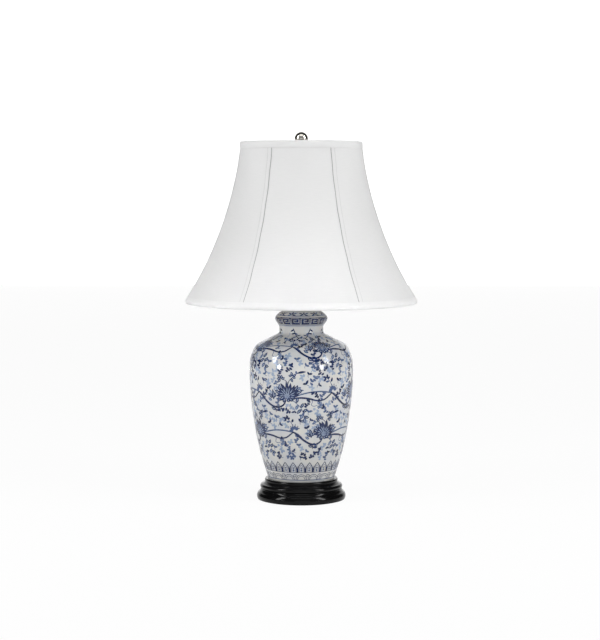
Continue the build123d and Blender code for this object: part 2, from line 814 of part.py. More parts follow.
with BuildPart() as bulb_base:
    with BuildSketch(Plane.XY.offset(bulb_base_bottom)):
        Circle(bulb_base_radius)
        Circle(bulb_base_radius - bulb_base_wall, mode=Mode.SUBTRACT)
    extrude(amount=bulb_base_height)
    with BuildSketch(Plane.XY.offset(bulb_base_bottom)):
        Circle(bulb_base_radius)
    extrude(amount=bulb_base_wall)
bulb_base.part.label = "bulb_base"
export_step(bulb_base.part, "parts/bulb_base.step")

bulb_centre = bulb_top - bulb_radius
bulb_neck_bottom = bulb_base_top - bulb_neck_overlap
flare_angle = math.radians(40)


def bulb_outline(inset):
    """Half outline of the glass, from the neck to the crown, pushed inward by inset."""
    globe = bulb_radius - inset
    neck = (bulb_neck_radius - inset, bulb_base_top)
    neck_end = (bulb_neck_radius - inset, bulb_neck_bottom + inset)
    tangent_point = (
        globe * math.cos(flare_angle),
        bulb_centre - globe * math.sin(flare_angle),
    )
    Line((0, bulb_neck_bottom + inset), neck_end)
    Line(neck_end, neck)
    Spline(
        neck,
        tangent_point,
        tangents=[(0, 1), (math.sin(flare_angle), math.cos(flare_angle))],
    )
    ThreePointArc(tangent_point, (globe, bulb_centre), (0, bulb_centre + globe))
    Line((0, bulb_centre + globe), (0, bulb_neck_bottom + inset))


with BuildPart() as bulb_glass:
    with BuildSketch(Plane.XZ):
        with BuildLine():
            bulb_outline(0)
        make_face()
    revolve(axis=Axis.Z)
    with BuildSketch(Plane.XZ):
        with BuildLine():
            bulb_outline(bulb_glass_wall)
        make_face()
    revolve(axis=Axis.Z, mode=Mode.SUBTRACT)
    with BuildSketch(Plane.XY.offset(bulb_neck_bottom)):
        Circle(bulb_neck_radius / 2)
    extrude(amount=bulb_glass_wall * 2, mode=Mode.SUBTRACT)
bulb_glass.part.label = "bulb_glass"
export_step(bulb_glass.part, "parts/bulb_glass.step")

# ---------------------------------------------------------------- harp and its sleeves

with BuildPart() as harp:
    with BuildLine(Plane.XZ) as harp_path:
        FilletPolyline(
            (-saddle_half_span, harp_foot_bottom),
            (-saddle_half_span, harp_foot_bottom + harp_straight_length),
            (-harp_half_width, harp_foot_bottom + harp_widest_start),
            (-harp_half_width, harp_foot_bottom + harp_widest_end),
            (-harp_top_half_width, harp_top_centre),
            (harp_top_half_width, harp_top_centre),
            (harp_half_width, harp_foot_bottom + harp_widest_end),
            (harp_half_width, harp_foot_bottom + harp_widest_start),
            (saddle_half_span, harp_foot_bottom + harp_straight_length),
            (saddle_half_span, harp_foot_bottom),
            radius=harp_bend_radii + harp_bend_radii[::-1],
        )
    with BuildSketch(Plane.XY.offset(harp_foot_bottom)):
        with Locations((-saddle_half_span, 0)):
            Circle(harp_wire_radius)
    sweep(path=harp_path.wires()[0])
    with BuildSketch(Plane.XY.offset(harp_foot_bottom)):
        with GridLocations(2 * saddle_half_span, 1, 2, 1):
            Circle(harp_foot_radius)
    extrude(amount=harp_foot_length)
    with BuildSketch(Plane.XY.offset(harp_eye_bottom)):
        Circle(harp_eye_radius)
    extrude(amount=2 * harp_wire_radius)
    with BuildSketch(Plane.XY.offset(harp_eye_bottom)):
        Circle(stud_shank_radius + stud_running_clearance)
    extrude(amount=2 * harp_wire_radius, mode=Mode.SUBTRACT)
harp.part.label = "harp"
export_step(harp.part, "parts/harp.step")

sleeve_bore = harp_foot_radius + joint_gap
sleeve_bottom = saddle_shoulder + joint_gap
for side, side_name in ((-1, "left"), (1, "right")):
    with BuildPart() as harp_sleeve:
        with BuildSketch(Plane.XY.offset(sleeve_bottom)):
            with Locations((side * saddle_half_span, 0)):
                Circle(sleeve_bore + sleeve_wall)
        extrude(amount=sleeve_length)
        fillet(harp_sleeve.edges().group_by(Axis.Z)[-1], sleeve_wall * 0.6)
        with BuildSketch(Plane.XY.offset(sleeve_bottom)):
            with Locations((side * saddle_half_span, 0)):
                Circle(sleeve_bore + sleeve_wall + sleeve_collar)
        extrude(amount=sleeve_collar_length)
        with BuildSketch(Plane.XY.offset(sleeve_bottom)):
            with Locations((side * saddle_half_span, 0)):
                Circle(sleeve_bore)
        extrude(amount=sleeve_length, mode=Mode.SUBTRACT)
    harp_sleeve.part.label = f"harp_sleeve_{side_name}"
    export_step(harp_sleeve.part, f"parts/harp_sleeve_{side_name}.step")

with BuildPart() as swivel_stud:
    with BuildSketch(Plane.XY.offset(spider_seat)):
        Circle(stud_thread_radius)
    extrude(amount=stud_thread_length)
    chamfer(swivel_stud.edges().group_by(Axis.Z)[-1], 0.6)
    with BuildSketch(Plane.XY.offset(stud_seat_bottom)):
        Circle(stud_seat_radius)
    extrude(amount=stud_seat_thickness)
    with BuildSketch(Plane.XY.offset(harp_eye_bottom - stud_end_play)):
        Circle(stud_shank_radius)
    extrude(amount=stud_seat_bottom - harp_eye_bottom + stud_end_play)
    with BuildSketch(Plane.XY.offset(harp_eye_bottom - stud_end_play)):
        Circle(stud_head_radius)
    extrude(amount=-stud_head_thickness)
    fillet(swivel_stud.edges().group_by(Axis.Z)[0], stud_head_thickness / 2)
swivel_stud.part.label = "swivel_stud"
export_step(swivel_stud.part, "parts/swivel_stud.step")

# ---------------------------------------------------------------- shade frame

ring_inset = fabric_thickness + fabric_gap + frame_wire_radius
top_ring_radius = shade_top_radius - ring_inset
bottom_ring_radius = shade_bottom_radius - ring_inset
rib_inset = fabric_thickness + rib_clearance + rib_wire_radius
hub_line = spider_seat + spider_hub_thickness / 2

with BuildPart() as top_ring:
    with BuildSketch(Plane.XZ):
        with Locations((top_ring_radius, top_ring_height)):
            Circle(frame_wire_radius)
    revolve(axis=Axis.Z)
top_ring.part.label = "top_ring"
export_step(top_ring.part, "parts/top_ring.step")

with BuildPart() as bottom_ring:
    with BuildSketch(Plane.XZ):
        with Locations((bottom_ring_radius, bottom_ring_height)):
            Circle(frame_wire_radius)
    revolve(axis=Axis.Z)
bottom_ring.part.label = "bottom_ring"
export_step(bottom_ring.part, "parts/bottom_ring.step")

rib_foot_radius = shade_bottom_radius - rib_inset
rib_head_radius = shade_top_radius - rib_inset
rib_mid_height = (bell_foot + bell_head) / 2
rib_foot_height = bottom_ring_height + frame_wire_radius
rib_head_height = top_ring_height - frame_wire_radius

with BuildPart() as shade_ribs:
    for count in range(shade_sides):
        with BuildLine(radial_plane(count * 360 / shade_sides)) as rib_path:
            ThreePointArc(
                (rib_foot_radius, bell_foot),
                (bell_radius(rib_mid_height) - rib_inset, rib_mid_height),
                (rib_head_radius, bell_head),
            )
        with BuildSketch(Plane(origin=rib_path.line @ 0, z_dir=rib_path.line % 0)):
            Circle(rib_wire_radius)
        sweep(path=rib_path.line)
    for radius, start, end in (
        (rib_foot_radius, bell_foot, rib_foot_height),
        (rib_head_radius, bell_head, rib_head_height),
    ):
        with Locations(Plane.XY.offset(start)):
            with PolarLocations(radius, shade_sides):
                Sphere(rib_weld_radius)
        with BuildSketch(Plane.XY.offset(start)):
            with PolarLocations(radius, shade_sides):
                Circle(rib_wire_radius)
        extrude(amount=end - start)
shade_ribs.part.label = "shade_ribs"
export_step(shade_ribs.part, "parts/shade_ribs.step")

with BuildPart() as spider_hub:
    with BuildSketch(Plane.XY.offset(spider_seat)):
        Circle(spider_hub_radius)
        Circle(spider_hub_bore_radius, mode=Mode.SUBTRACT)
    extrude(amount=spider_hub_thickness)
spider_hub.part.label = "spider_hub"
export_step(spider_hub.part, "parts/spider_hub.step")

for number, angle in enumerate(spider_arm_angles, start=1):
    with BuildPart() as spider_arm:
        with BuildLine(radial_plane(angle)) as arm_path:
            FilletPolyline(
                (spider_hub_radius - 1, hub_line),
                (spider_arm_flat + spider_hub_radius, hub_line),
                (top_ring_radius, top_ring_height),
                radius=spider_arm_bend_radius,
            )
        with BuildSketch(Plane(origin=arm_path.line @ 0, z_dir=arm_path.line % 0)):
            Circle(frame_wire_radius)
        sweep(path=arm_path.wires()[0])
        with BuildSketch(Plane.XY.offset(hub_line)):
            Circle(spider_hub_radius)
        extrude(amount=2 * frame_wire_radius, both=True, mode=Mode.SUBTRACT)
        with BuildSketch(Plane.XZ):
            with Locations((top_ring_radius, top_ring_height)):
                Circle(frame_wire_radius)
        revolve(axis=Axis.Z, mode=Mode.SUBTRACT)
    spider_arm.part.label = f"spider_arm_{number}"
    export_step(spider_arm.part, f"parts/spider_arm_{number}.step")

# ---------------------------------------------------------------- shade cloth

section_step = (bell_head - bell_foot) / panel_sections
section_heights = [bell_foot + count * section_step for count in range(panel_sections + 1)]

for number in range(1, shade_sides + 1):
    panel_angle = (number - 0.5) * 360 / shade_sides
    with BuildPart() as shade_panel:
        for height in section_heights:
            arc_radius, _, half_arc = panel_arc(height)
            edge = half_arc - fabric_gap / arc_radius
            inner_edge = edge - fabric_thickness * math.sin(half_side - half_arc) / arc_radius
            with BuildSketch(Plane.XY.offset(height)):
                with BuildLine():
                    outer = [panel_point(height, panel_angle, turn, 0) for turn in (-edge, 0, edge)]
                    inner = [
                        panel_point(height, panel_angle, turn, -fabric_thickness)
                        for turn in (inner_edge, 0, -inner_edge)
                    ]
                    ThreePointArc(*outer)
                    Line(outer[2], inner[0])
                    ThreePointArc(*inner)
                    Line(inner[2], outer[0])
                make_face()
        loft()
        collar_face = shade_panel.faces().sort_by(Axis.Z)[-1]
        hem_face = shade_panel.faces().sort_by(Axis.Z)[0]
        extrude(collar_face, amount=top_ring_height - bell_head)
        extrude(hem_face, amount=bell_foot - bottom_ring_height)
    shade_panel.part.label = f"shade_panel_{number}"
    export_step(shade_panel.part, f"parts/shade_panel_{number}.step")

lining_top_radius = top_ring_radius - frame_wire_radius - fabric_gap
lining_bottom_radius = bottom_ring_radius - frame_wire_radius - fabric_gap
lining_bottom = bell_foot + 2 * fabric_gap
lining_mid_height = (bell_head + lining_bottom) / 2
lining_mid_radius = panel_mid_radius(lining_mid_height) - fabric_thickness - lining_stand_off

with BuildPart() as shade_lining:
    with BuildSketch(Plane.XZ):
        with BuildLine():
            ThreePointArc(
                (lining_bottom_radius, lining_bottom),
                (lining_mid_radius, lining_mid_height),
                (lining_top_radius, bell_head),
            )
            Line((lining_top_radius, bell_head), (lining_top_radius, top_ring_height))
            Line(
                (lining_top_radius, top_ring_height),
                (lining_top_radius - lining_thickness, top_ring_height),
            )
            Line(
                (lining_top_radius - lining_thickness, top_ring_height),
                (lining_top_radius - lining_thickness, bell_head),
            )
            ThreePointArc(
                (lining_top_radius - lining_thickness, bell_head),
                (lining_mid_radius - lining_thickness, lining_mid_height),
                (lining_bottom_radius - lining_thickness, lining_bottom),
            )
            Line(
                (lining_bottom_radius - lining_thickness, lining_bottom),
                (lining_bottom_radius, lining_bottom),
            )
        make_face()
    revolve(axis=Axis.Z)
    for angle in spider_arm_angles:
        with BuildSketch(radial_plane(angle + 90)):
            with Locations((0, top_ring_height)):
                Circle(2 * frame_wire_radius)
        extrude(amount=top_ring_radius, mode=Mode.SUBTRACT)
shade_lining.part.label = "shade_lining"
export_step(shade_lining.part, "parts/shade_lining.step")

trim_outset = fabric_gap + trim_thickness / 2
hem_inset = ring_inset + frame_wire_radius + fabric_gap + trim_thickness / 2
trim_inset = hem_inset + fabric_gap + lining_thickness
slit_height = top_ring_height - frame_wire_radius / 3

with BuildPart() as top_trim:
    with BuildSketch(Plane.XZ):
        with BuildLine():
            FilletPolyline(
                (shade_top_radius + trim_outset, shade_top - trim_height),
                (shade_top_radius + trim_outset, shade_top - trim_thickness / 2),
                (shade_top_radius - trim_inset, shade_top - trim_thickness / 2),
                (shade_top_radius - trim_inset, shade_top - trim_height),
                radius=trim_edge_radius,
            )
        trace(line_width=trim_thickness)
    revolve(axis=Axis.Z)
    for angle in spider_arm_angles:
        with BuildSketch(radial_plane(angle + 90)):
            with Locations((0, slit_height)):
                Circle(frame_wire_radius + 3 * fabric_gap)
        extrude(amount=top_ring_radius, mode=Mode.SUBTRACT)
top_trim.part.label = "top_trim"
export_step(top_trim.part, "parts/top_trim.step")

with BuildPart() as bottom_trim:
    trim_head = shade_bottom + trim_height
    trim_floor = shade_bottom + trim_thickness / 2
    with BuildSketch(Plane.XZ):
        with BuildLine():
            FilletPolyline(
                (bell_radius(trim_head) + trim_outset, trim_head),
                (shade_bottom_radius + trim_outset, bell_foot),
                (shade_bottom_radius + trim_outset, trim_floor),
                (shade_bottom_radius - hem_inset, trim_floor),
                (shade_bottom_radius - hem_inset, bell_foot),
                radius=trim_edge_radius,
            )
        trace(line_width=trim_thickness)
    revolve(axis=Axis.Z)
bottom_trim.part.label = "bottom_trim"
export_step(bottom_trim.part, "parts/bottom_trim.step")

strip_bottom = shade_bottom + trim_height + trim_thickness
strip_top = shade_top - trim_height - trim_thickness
strip_step = (strip_top - strip_bottom) / panel_sections

with BuildPart() as seam_strips:
    for count in range(shade_sides):
        seam_angle = count * 360 / shade_sides
        for section in range(panel_sections + 1):
            height = strip_bottom + section * strip_step
            arc_radius, _, half_arc = panel_arc(height)
            reach = strip_width / 2 / arc_radius
            right_panel = seam_angle - math.degrees(half_side)
            left_panel = seam_angle + math.degrees(half_side)
            under = fabric_gap
            over = fabric_gap + strip_thickness
            with BuildSketch(Plane.XY.offset(height)):
                with BuildLine():
                    Polyline(
                        panel_point(height, right_panel, half_arc - reach, under),
                        panel_point(height, right_panel, half_arc, under),
                        panel_point(height, left_panel, reach - half_arc, under),
                        panel_point(height, left_panel, reach - half_arc, over),
                        panel_point(height, right_panel, half_arc, over),
                        panel_point(height, right_panel, half_arc - reach, over),
                        close=True,
                    )
                make_face()
        loft(clean=False)
seam_strips.part.label = "seam_strips"
export_step(seam_strips.part, "parts/seam_strips.step")

# ---------------------------------------------------------------- finial

with BuildPart() as finial_neck:
    with BuildSketch(Plane.XZ):
        with BuildLine():
            neck_top = ball_centre - math.sqrt(finial_ball_radius ** 2 - finial_collar_radius ** 2)
            collar_bottom = neck_top - finial_collar_height
            flange_top = spider_top + finial_flange_thickness
            Line((0, spider_top), (finial_flange_radius - 0.4, spider_top))
            ThreePointArc(
                (finial_flange_radius - 0.4, spider_top),
                (finial_flange_radius, spider_top + finial_flange_thickness / 2),
                (finial_flange_radius - 0.4, flange_top),
            )
            ThreePointArc(
                (finial_flange_radius - 0.4, flange_top),
                (finial_waist_radius, (flange_top + collar_bottom) / 2 + 0.4),
                (finial_collar_radius - 0.6, collar_bottom),
            )
            Line((finial_collar_radius - 0.6, collar_bottom), (finial_collar_radius, neck_top))
            Line((finial_collar_radius, neck_top), (0, neck_top))
            Line((0, neck_top), (0, spider_top))
        make_face()
    revolve(axis=Axis.Z)
    with BuildSketch(Plane.XY.offset(spider_top)):
        Circle(finial_bore_radius)
    extrude(amount=finial_height, mode=Mode.SUBTRACT)
finial_neck.part.label = "finial_neck"
export_step(finial_neck.part, "parts/finial_neck.step")

with BuildPart() as finial_ball:
    with BuildSketch(Plane.XZ):
        with BuildLine():
            ThreePointArc(
                (finial_collar_radius, neck_top),
                (finial_ball_radius, ball_centre),
                (0, ball_centre + finial_ball_radius),
            )
            Line((0, ball_centre + finial_ball_radius), (0, neck_top))
            Line((0, neck_top), (finial_collar_radius, neck_top))
        make_face()
    revolve(axis=Axis.Z)
    with BuildSketch(Plane.XY.offset(neck_top)):
        Circle(finial_bore_radius)
    extrude(amount=spider_top + finial_bore_depth - neck_top, mode=Mode.SUBTRACT)
finial_ball.part.label = "finial_ball"
export_step(finial_ball.part, "parts/finial_ball.step")
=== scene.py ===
import math
import random

import bmesh
import bpy
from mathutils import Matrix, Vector


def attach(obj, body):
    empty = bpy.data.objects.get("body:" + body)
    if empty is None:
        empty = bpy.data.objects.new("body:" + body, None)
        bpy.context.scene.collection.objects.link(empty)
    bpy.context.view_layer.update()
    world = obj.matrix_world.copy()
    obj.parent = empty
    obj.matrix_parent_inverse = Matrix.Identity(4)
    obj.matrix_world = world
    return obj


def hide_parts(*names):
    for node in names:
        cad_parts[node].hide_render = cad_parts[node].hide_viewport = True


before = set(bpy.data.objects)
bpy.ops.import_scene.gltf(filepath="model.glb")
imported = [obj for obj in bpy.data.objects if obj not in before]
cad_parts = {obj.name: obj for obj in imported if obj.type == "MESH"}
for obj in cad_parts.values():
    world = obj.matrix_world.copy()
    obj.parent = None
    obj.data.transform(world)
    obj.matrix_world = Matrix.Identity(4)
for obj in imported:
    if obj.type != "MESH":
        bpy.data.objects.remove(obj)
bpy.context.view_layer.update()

# Ginger jar table lamp. Its sizes are written in millimetres and turned into metres by MM;
# camera, lamps, floor and backdrop are in metres.
# +Z is up, -Y is the front, the origin is on the floor at the lamp's axis.

MM = 0.001

# ---------------------------------------------------------------- camera and light

CAMERA_DISTANCE = 3.400
CAMERA_HEIGHT = 0.5917
CAMERA_TILT = math.radians(4.30)
CAMERA_SIDE = -0.0024
CAMERA_LENS = 109.62


def deselect():
    """Nothing stays selected, so the next operator acts only on what it is given."""
    if bpy.context.object and bpy.context.object.mode != "OBJECT":
        bpy.ops.object.mode_set(mode="OBJECT")
    bpy.ops.object.select_all(action="DESELECT")


deselect()
bpy.ops.object.camera_add(
    location=(CAMERA_SIDE, -CAMERA_DISTANCE, CAMERA_HEIGHT),
    rotation=(math.radians(90) - CAMERA_TILT, 0, 0),
)
camera = bpy.context.object
camera.name = "camera"
camera.data.sensor_fit = "HORIZONTAL"
camera.data.sensor_width = 36
camera.data.lens = CAMERA_LENS
camera.data.clip_end = 50
bpy.context.scene.camera = camera
bpy.context.scene.view_settings.view_transform = "Standard"

# Heights on the axis that the lamps face, in metres.
AIM_MIDDLE = 0.34
AIM_SHOULDER = 0.27


def soft_box(name, azimuth, elevation, distance, size, power, spread, aim):
    """A rectangular lamp that faces the object's axis at the height aim; azimuth 0 is the front."""
    target = Vector((0, 0, aim))
    turn = math.radians(azimuth)
    rise = math.radians(elevation)
    place = target + Vector((
        math.sin(turn) * math.cos(rise),
        -math.cos(turn) * math.cos(rise),
        math.sin(rise),
    )) * distance
    deselect()
    bpy.ops.object.light_add(type="AREA", location=place)
    lamp = bpy.context.object
    lamp.name = name
    lamp.data.shape = "RECTANGLE"
    lamp.data.size, lamp.data.size_y = size
    lamp.data.energy = power
    lamp.data.spread = math.radians(spread)
    lamp.rotation_euler = (target - place).to_track_quat("-Z", "Y").to_euler()


# name, azimuth, elevation, distance, width and height, power, spread, aim
LAMPS = (
    ("soft_box_left", -64, 27, 2.2, (0.42, 1.7), 25, 180, AIM_MIDDLE),
    ("soft_box_right", 60, 27, 2.1, (0.44, 1.7), 24.5, 180, AIM_MIDDLE),
    ("soft_box_low", 2, 4, 3.2, (2.2, 0.6), 4.6, 180, AIM_MIDDLE),
    ("soft_box_shoulder_left", -50, 3, 2.3, (0.7, 0.28), 0.17, 11, AIM_SHOULDER),
    ("soft_box_shoulder_right", 46, 3, 2.3, (0.7, 0.28), 0.16, 11, AIM_SHOULDER),
    ("soft_box_top", 0, 66, 2.6, (2.2, 1.4), 12, 180, AIM_MIDDLE),
)
for lamp_values in LAMPS:
    soft_box(*lamp_values)


def math_node(tree, operation, *values):
    """A Math node's result; each value is a number or another node's output."""
    node = tree.nodes.new("ShaderNodeMath")
    node.operation = operation
    for socket, value in zip(node.inputs, values):
        if isinstance(value, bpy.types.NodeSocket):
            tree.links.new(value, socket)
        else:
            socket.default_value = value
    return node.outputs["Value"]


# The studio is lighter in front of the lamp than beside it, and its background is white: all
# round to the camera and through glass, and toward the backdrop to polished surfaces.
SKY_FRONT = 0.31
SKY_BESIDE = 0.045
world = bpy.data.worlds.new("studio")
bpy.context.scene.world = world
world.use_nodes = True
sky = world.node_tree
sky_way = sky.nodes.new("ShaderNodeTexCoord")
sky_parts = sky.nodes.new("ShaderNodeSeparateXYZ")
sky.links.new(sky_way.outputs["Generated"], sky_parts.inputs["Vector"])


def sky_range(low, high, at_low, at_high):
    """A value that goes from at_low to at_high along the studio's depth."""
    share = sky.nodes.new("ShaderNodeMapRange")
    for label, value in (("From Min", low), ("From Max", high), ("To Min", at_low), ("To Max", at_high)):
        share.inputs[label].default_value = value
    sky.links.new(sky_parts.outputs["Y"], share.inputs["Value"])
    return share.outputs["Result"]


sky_rays = sky.nodes.new("ShaderNodeLightPath")
sky_mirrored = math_node(sky, "MULTIPLY", sky_rays.outputs["Is Glossy Ray"], sky_range(0.7, 0.85, 0.0, 1.0))
sky_seen = math_node(
    sky, "MAXIMUM", sky_rays.outputs["Is Camera Ray"], sky_rays.outputs["Is Transmission Ray"]
)
sky_level = sky.nodes.new("ShaderNodeMix")
sky_level.inputs["B"].default_value = 1.0
sky.links.new(math_node(sky, "MAXIMUM", sky_seen, sky_mirrored), sky_level.inputs["Factor"])
sky.links.new(sky_range(-0.45, 0.0, SKY_FRONT, SKY_BESIDE), sky_level.inputs["A"])
sky.nodes["Background"].inputs["Color"].default_value = (1.0, 1.0, 1.0, 1)
sky.links.new(sky_level.outputs["Result"], sky.nodes["Background"].inputs["Strength"])

# ---------------------------------------------------------------- material tools


def new_material(name):
    """An empty node material with its Principled shader and its output."""
    material = bpy.data.materials.new(name)
    material.use_nodes = True
    return material, material.node_tree.nodes, material.node_tree.links


def set_shader(nodes, **values):
    """Constants go on the shader's own sockets, named with underscores for spaces."""
    shader = nodes["Principled BSDF"]
    for key, value in values.items():
        shader.inputs[key.replace("_", " ")].default_value = value
    return shader


def add_node(nodes, kind, **values):
    """A node with values on its inputs by name."""
    node = nodes.new(kind)
    for key, value in values.items():
        node.inputs[key.replace("_", " ")].default_value = value
    return node


def rgb(red, green, blue):
    return (red, green, blue, 1.0)


def new_group(name, inputs, outputs):
    """A shader node group with named float, colour or vector sockets."""
    group = bpy.data.node_groups.new(name, "ShaderNodeTree")
    for label, kind, value in inputs:
        socket = group.interface.new_socket(label, in_out="INPUT", socket_type=kind)
        if value is not None:
            socket.default_value = value
    for label, kind in outputs:
        group.interface.new_socket(label, in_out="OUTPUT", socket_type=kind)
    return group, group.nodes.new("NodeGroupInput"), group.nodes.new("NodeGroupOutput")


def make_mottle():
    """Soft variation between two colours, with a matching mask."""
    group, given, result = new_group(
        "mottle",
        [
            ("Scale", "NodeSocketFloat", 20.0),
            ("Detail", "NodeSocketFloat", 3.0),
            ("Low", "NodeSocketColor", rgb(0.4, 0.4, 0.4)),
            ("High", "NodeSocketColor", rgb(0.6, 0.6, 0.6)),
        ],
        [("Color", "NodeSocketColor"), ("Mask", "NodeSocketFloat")],
    )
    nodes = group.nodes
    links = group.links
    place = nodes.new("ShaderNodeTexCoord")
    noise = nodes.new("ShaderNodeTexNoise")
    ramp = add_node(nodes, "ShaderNodeMapRange", From_Min=0.3, From_Max=0.7)
    mix = nodes.new("ShaderNodeMix")
    mix.data_type = "RGBA"
    links.new(place.outputs["Object"], noise.inputs["Vector"])
    links.new(given.outputs["Scale"], noise.inputs["Scale"])
    links.new(given.outputs["Detail"], noise.inputs["Detail"])
    links.new(noise.outputs["Fac"], ramp.inputs["Value"])
    links.new(ramp.outputs["Result"], mix.inputs["Factor"])
    links.new(given.outputs["Low"], mix.inputs["A"])
    links.new(given.outputs["High"], mix.inputs["B"])
    links.new(mix.outputs["Result"], result.inputs["Color"])
    links.new(ramp.outputs["Result"], result.inputs["Mask"])
    return group


def make_cloth_weave():
    """Warp and weft threads with long slubs, read from the piece's own UV in millimetres."""
    group, given, result = new_group(
        "cloth_weave",
        [
            ("Threads", "NodeSocketFloat", 2.2),
            ("Slub", "NodeSocketFloat", 0.5),
            ("Shade", "NodeSocketColor", rgb(0.7, 0.7, 0.7)),
            ("Light", "NodeSocketColor", rgb(0.8, 0.8, 0.8)),
        ],
        [("Color", "NodeSocketColor"), ("Height", "NodeSocketFloat")],
    )
    nodes = group.nodes
    links = group.links
    place = nodes.new("ShaderNodeTexCoord")
    heights = []
    for direction in ("X", "Y"):
        threads = add_node(
            nodes, "ShaderNodeTexWave", Distortion=0.6, Detail=1.0, Detail_Scale=0.4
        )
        threads.bands_direction = direction
        links.new(place.outputs["UV"], threads.inputs["Vector"])
        links.new(given.outputs["Threads"], threads.inputs["Scale"])
        heights.append(threads.outputs["Fac"])
    weave = math_node(group, "MULTIPLY", *heights)
    stretch = add_node(nodes, "ShaderNodeMapping", Scale=(0.035, 0.9, 1.0))
    slubs = add_node(nodes, "ShaderNodeTexNoise", Scale=1.0, Detail=2.0)
    links.new(place.outputs["UV"], stretch.inputs["Vector"])
    links.new(stretch.outputs["Vector"], slubs.inputs["Vector"])
    total = math_node(group, "MULTIPLY_ADD", slubs.outputs["Fac"], given.outputs["Slub"], weave)
    mix = nodes.new("ShaderNodeMix")
    mix.data_type = "RGBA"
    links.new(slubs.outputs["Fac"], mix.inputs["Factor"])
    links.new(given.outputs["Shade"], mix.inputs["A"])
    links.new(given.outputs["Light"], mix.inputs["B"])
    links.new(mix.outputs["Result"], result.inputs["Color"])
    links.new(total, result.inputs["Height"])
    return group


MOTTLE = make_mottle()
CLOTH_WEAVE = make_cloth_weave()


def place_group(nodes, group, **values):
    """A group placed in a material, with its own values."""
    node = nodes.new("ShaderNodeGroup")
    node.node_tree = group
    for key, value in values.items():
        node.inputs[key].default_value = value
    return node


def mottled(name, low, high, scale, bump=0.0, bump_scale=200.0, rough=None, **shader_values):
    """A finish whose colour drifts between low and high, with a fine surface bump."""
    material, nodes, links = new_material(name)
    shader = set_shader(nodes, **shader_values)
    drift = place_group(nodes, MOTTLE, Scale=scale, Low=rgb(*low), High=rgb(*high))
    links.new(drift.outputs["Color"], shader.inputs["Base Color"])
    if rough is not None:
        spread = add_node(nodes, "ShaderNodeMapRange", To_Min=rough[0], To_Max=rough[1])
        links.new(drift.outputs["Mask"], spread.inputs["Value"])
        links.new(spread.outputs["Result"], shader.inputs["Roughness"])
    if bump:
        place = nodes.new("ShaderNodeTexCoord")
        grain = add_node(nodes, "ShaderNodeTexNoise", Scale=bump_scale, Detail=2.0)
        raise_it = add_node(nodes, "ShaderNodeBump", Strength=1.0, Distance=bump)
        links.new(place.outputs["Object"], grain.inputs["Vector"])
        links.new(grain.outputs["Fac"], raise_it.inputs["Height"])
        links.new(raise_it.outputs["Normal"], shader.inputs["Normal"])
    return material


def woven(name, shade, light, threads, slub, bump, **shader_values):
    """A cloth finish with its weave on the piece's own UV."""
    material, nodes, links = new_material(name)
    shader = set_shader(nodes, **shader_values)
    cloth = place_group(
        nodes, CLOTH_WEAVE, Threads=threads, Slub=slub, Shade=rgb(*shade), Light=rgb(*light)
    )
    raise_it = add_node(nodes, "ShaderNodeBump", Strength=1.0, Distance=bump)
    links.new(cloth.outputs["Color"], shader.inputs["Base Color"])
    links.new(cloth.outputs["Height"], raise_it.inputs["Height"])
    links.new(raise_it.outputs["Normal"], shader.inputs["Normal"])
    return material


# ---------------------------------------------------------------- finishes

glaze = mottled(
    "clear_glaze_on_porcelain", (0.475, 0.497, 0.532), (0.578, 0.570, 0.532), scale=34.0,
    bump=0.00004, bump_scale=60.0, Roughness=0.12, IOR=1.52,
)
cobalt_deep = mottled(
    "deep_cobalt", (0.002, 0.008, 0.036), (0.010, 0.026, 0.105), scale=160.0,
    Roughness=0.12, IOR=1.52,
)
cobalt_middle = mottled(
    "middle_cobalt", (0.030, 0.056, 0.14), (0.085, 0.125, 0.235), scale=120.0,
    Roughness=0.08, IOR=1.52,
)
cobalt_wash = mottled(
    "pale_cobalt_wash", (0.19, 0.25, 0.37), (0.31, 0.37, 0.48), scale=90.0,
    Roughness=0.08, IOR=1.52,
)
cloth_white = woven(
    "shade_cloth", (0.725, 0.727, 0.728), (0.785, 0.785, 0.782), threads=1.9, slub=0.5, bump=0.00008,
    Roughness=0.62, Sheen_Weight=0.12, Sheen_Roughness=0.4,
)
cloth_trim = woven(
    "trim_cloth", (0.75, 0.752, 0.754), (0.81, 0.81, 0.808), threads=1.9, slub=0.35, bump=0.00008,
    Roughness=0.6, Sheen_Weight=0.12, Sheen_Roughness=0.4,
)
# Dark grey cloth: a painted shadow line along one edge of each seam tape.
seam_shadow_cloth = woven(
    "painted_seam_shadow", (0.26, 0.26, 0.26), (0.36, 0.36, 0.36), threads=1.9, slub=0.3, bump=0.00004,
    Roughness=0.8,
)
# Mid grey cloth: painted faint shade along the other edge of each seam tape.
fold_shading_cloth = woven(
    "painted_fold_shading", (0.55, 0.55, 0.55), (0.62, 0.62, 0.62), threads=1.9, slub=0.3, bump=0.00004,
    Roughness=0.8,
)
cloth_lining = woven(
    "lining_cloth", (0.84, 0.84, 0.83), (0.88, 0.88, 0.87), threads=1.4, slub=0.15, bump=0.00004,
    Roughness=0.5,
)
lacquer = mottled(
    "black_lacquer", (0.0022, 0.0022, 0.0024), (0.0045, 0.0045, 0.0048), scale=30.0,
    bump=0.00001, bump_scale=400.0, rough=(0.10, 0.15), IOR=1.38, Specular_IOR_Level=0.24,
)
polished_nickel = mottled(
    "polished_nickel", (0.62, 0.59, 0.54), (0.70, 0.67, 0.62), scale=60.0,
    rough=(0.08, 0.16), Metallic=1.0,
)
plated_steel = mottled(
    "zinc_plated_steel", (0.48, 0.48, 0.46), (0.60, 0.60, 0.57), scale=90.0,
    bump=0.00003, bump_scale=900.0, rough=(0.28, 0.42), Metallic=1.0,
)
bright_brass = mottled(
    "plated_brass", (0.70, 0.50, 0.20), (0.80, 0.61, 0.28), scale=70.0,
    rough=(0.16, 0.28), Metallic=1.0,
)
aluminium = mottled(
    "bright_aluminium", (0.72, 0.72, 0.73), (0.82, 0.82, 0.82), scale=70.0,
    rough=(0.22, 0.34), Metallic=1.0,
)
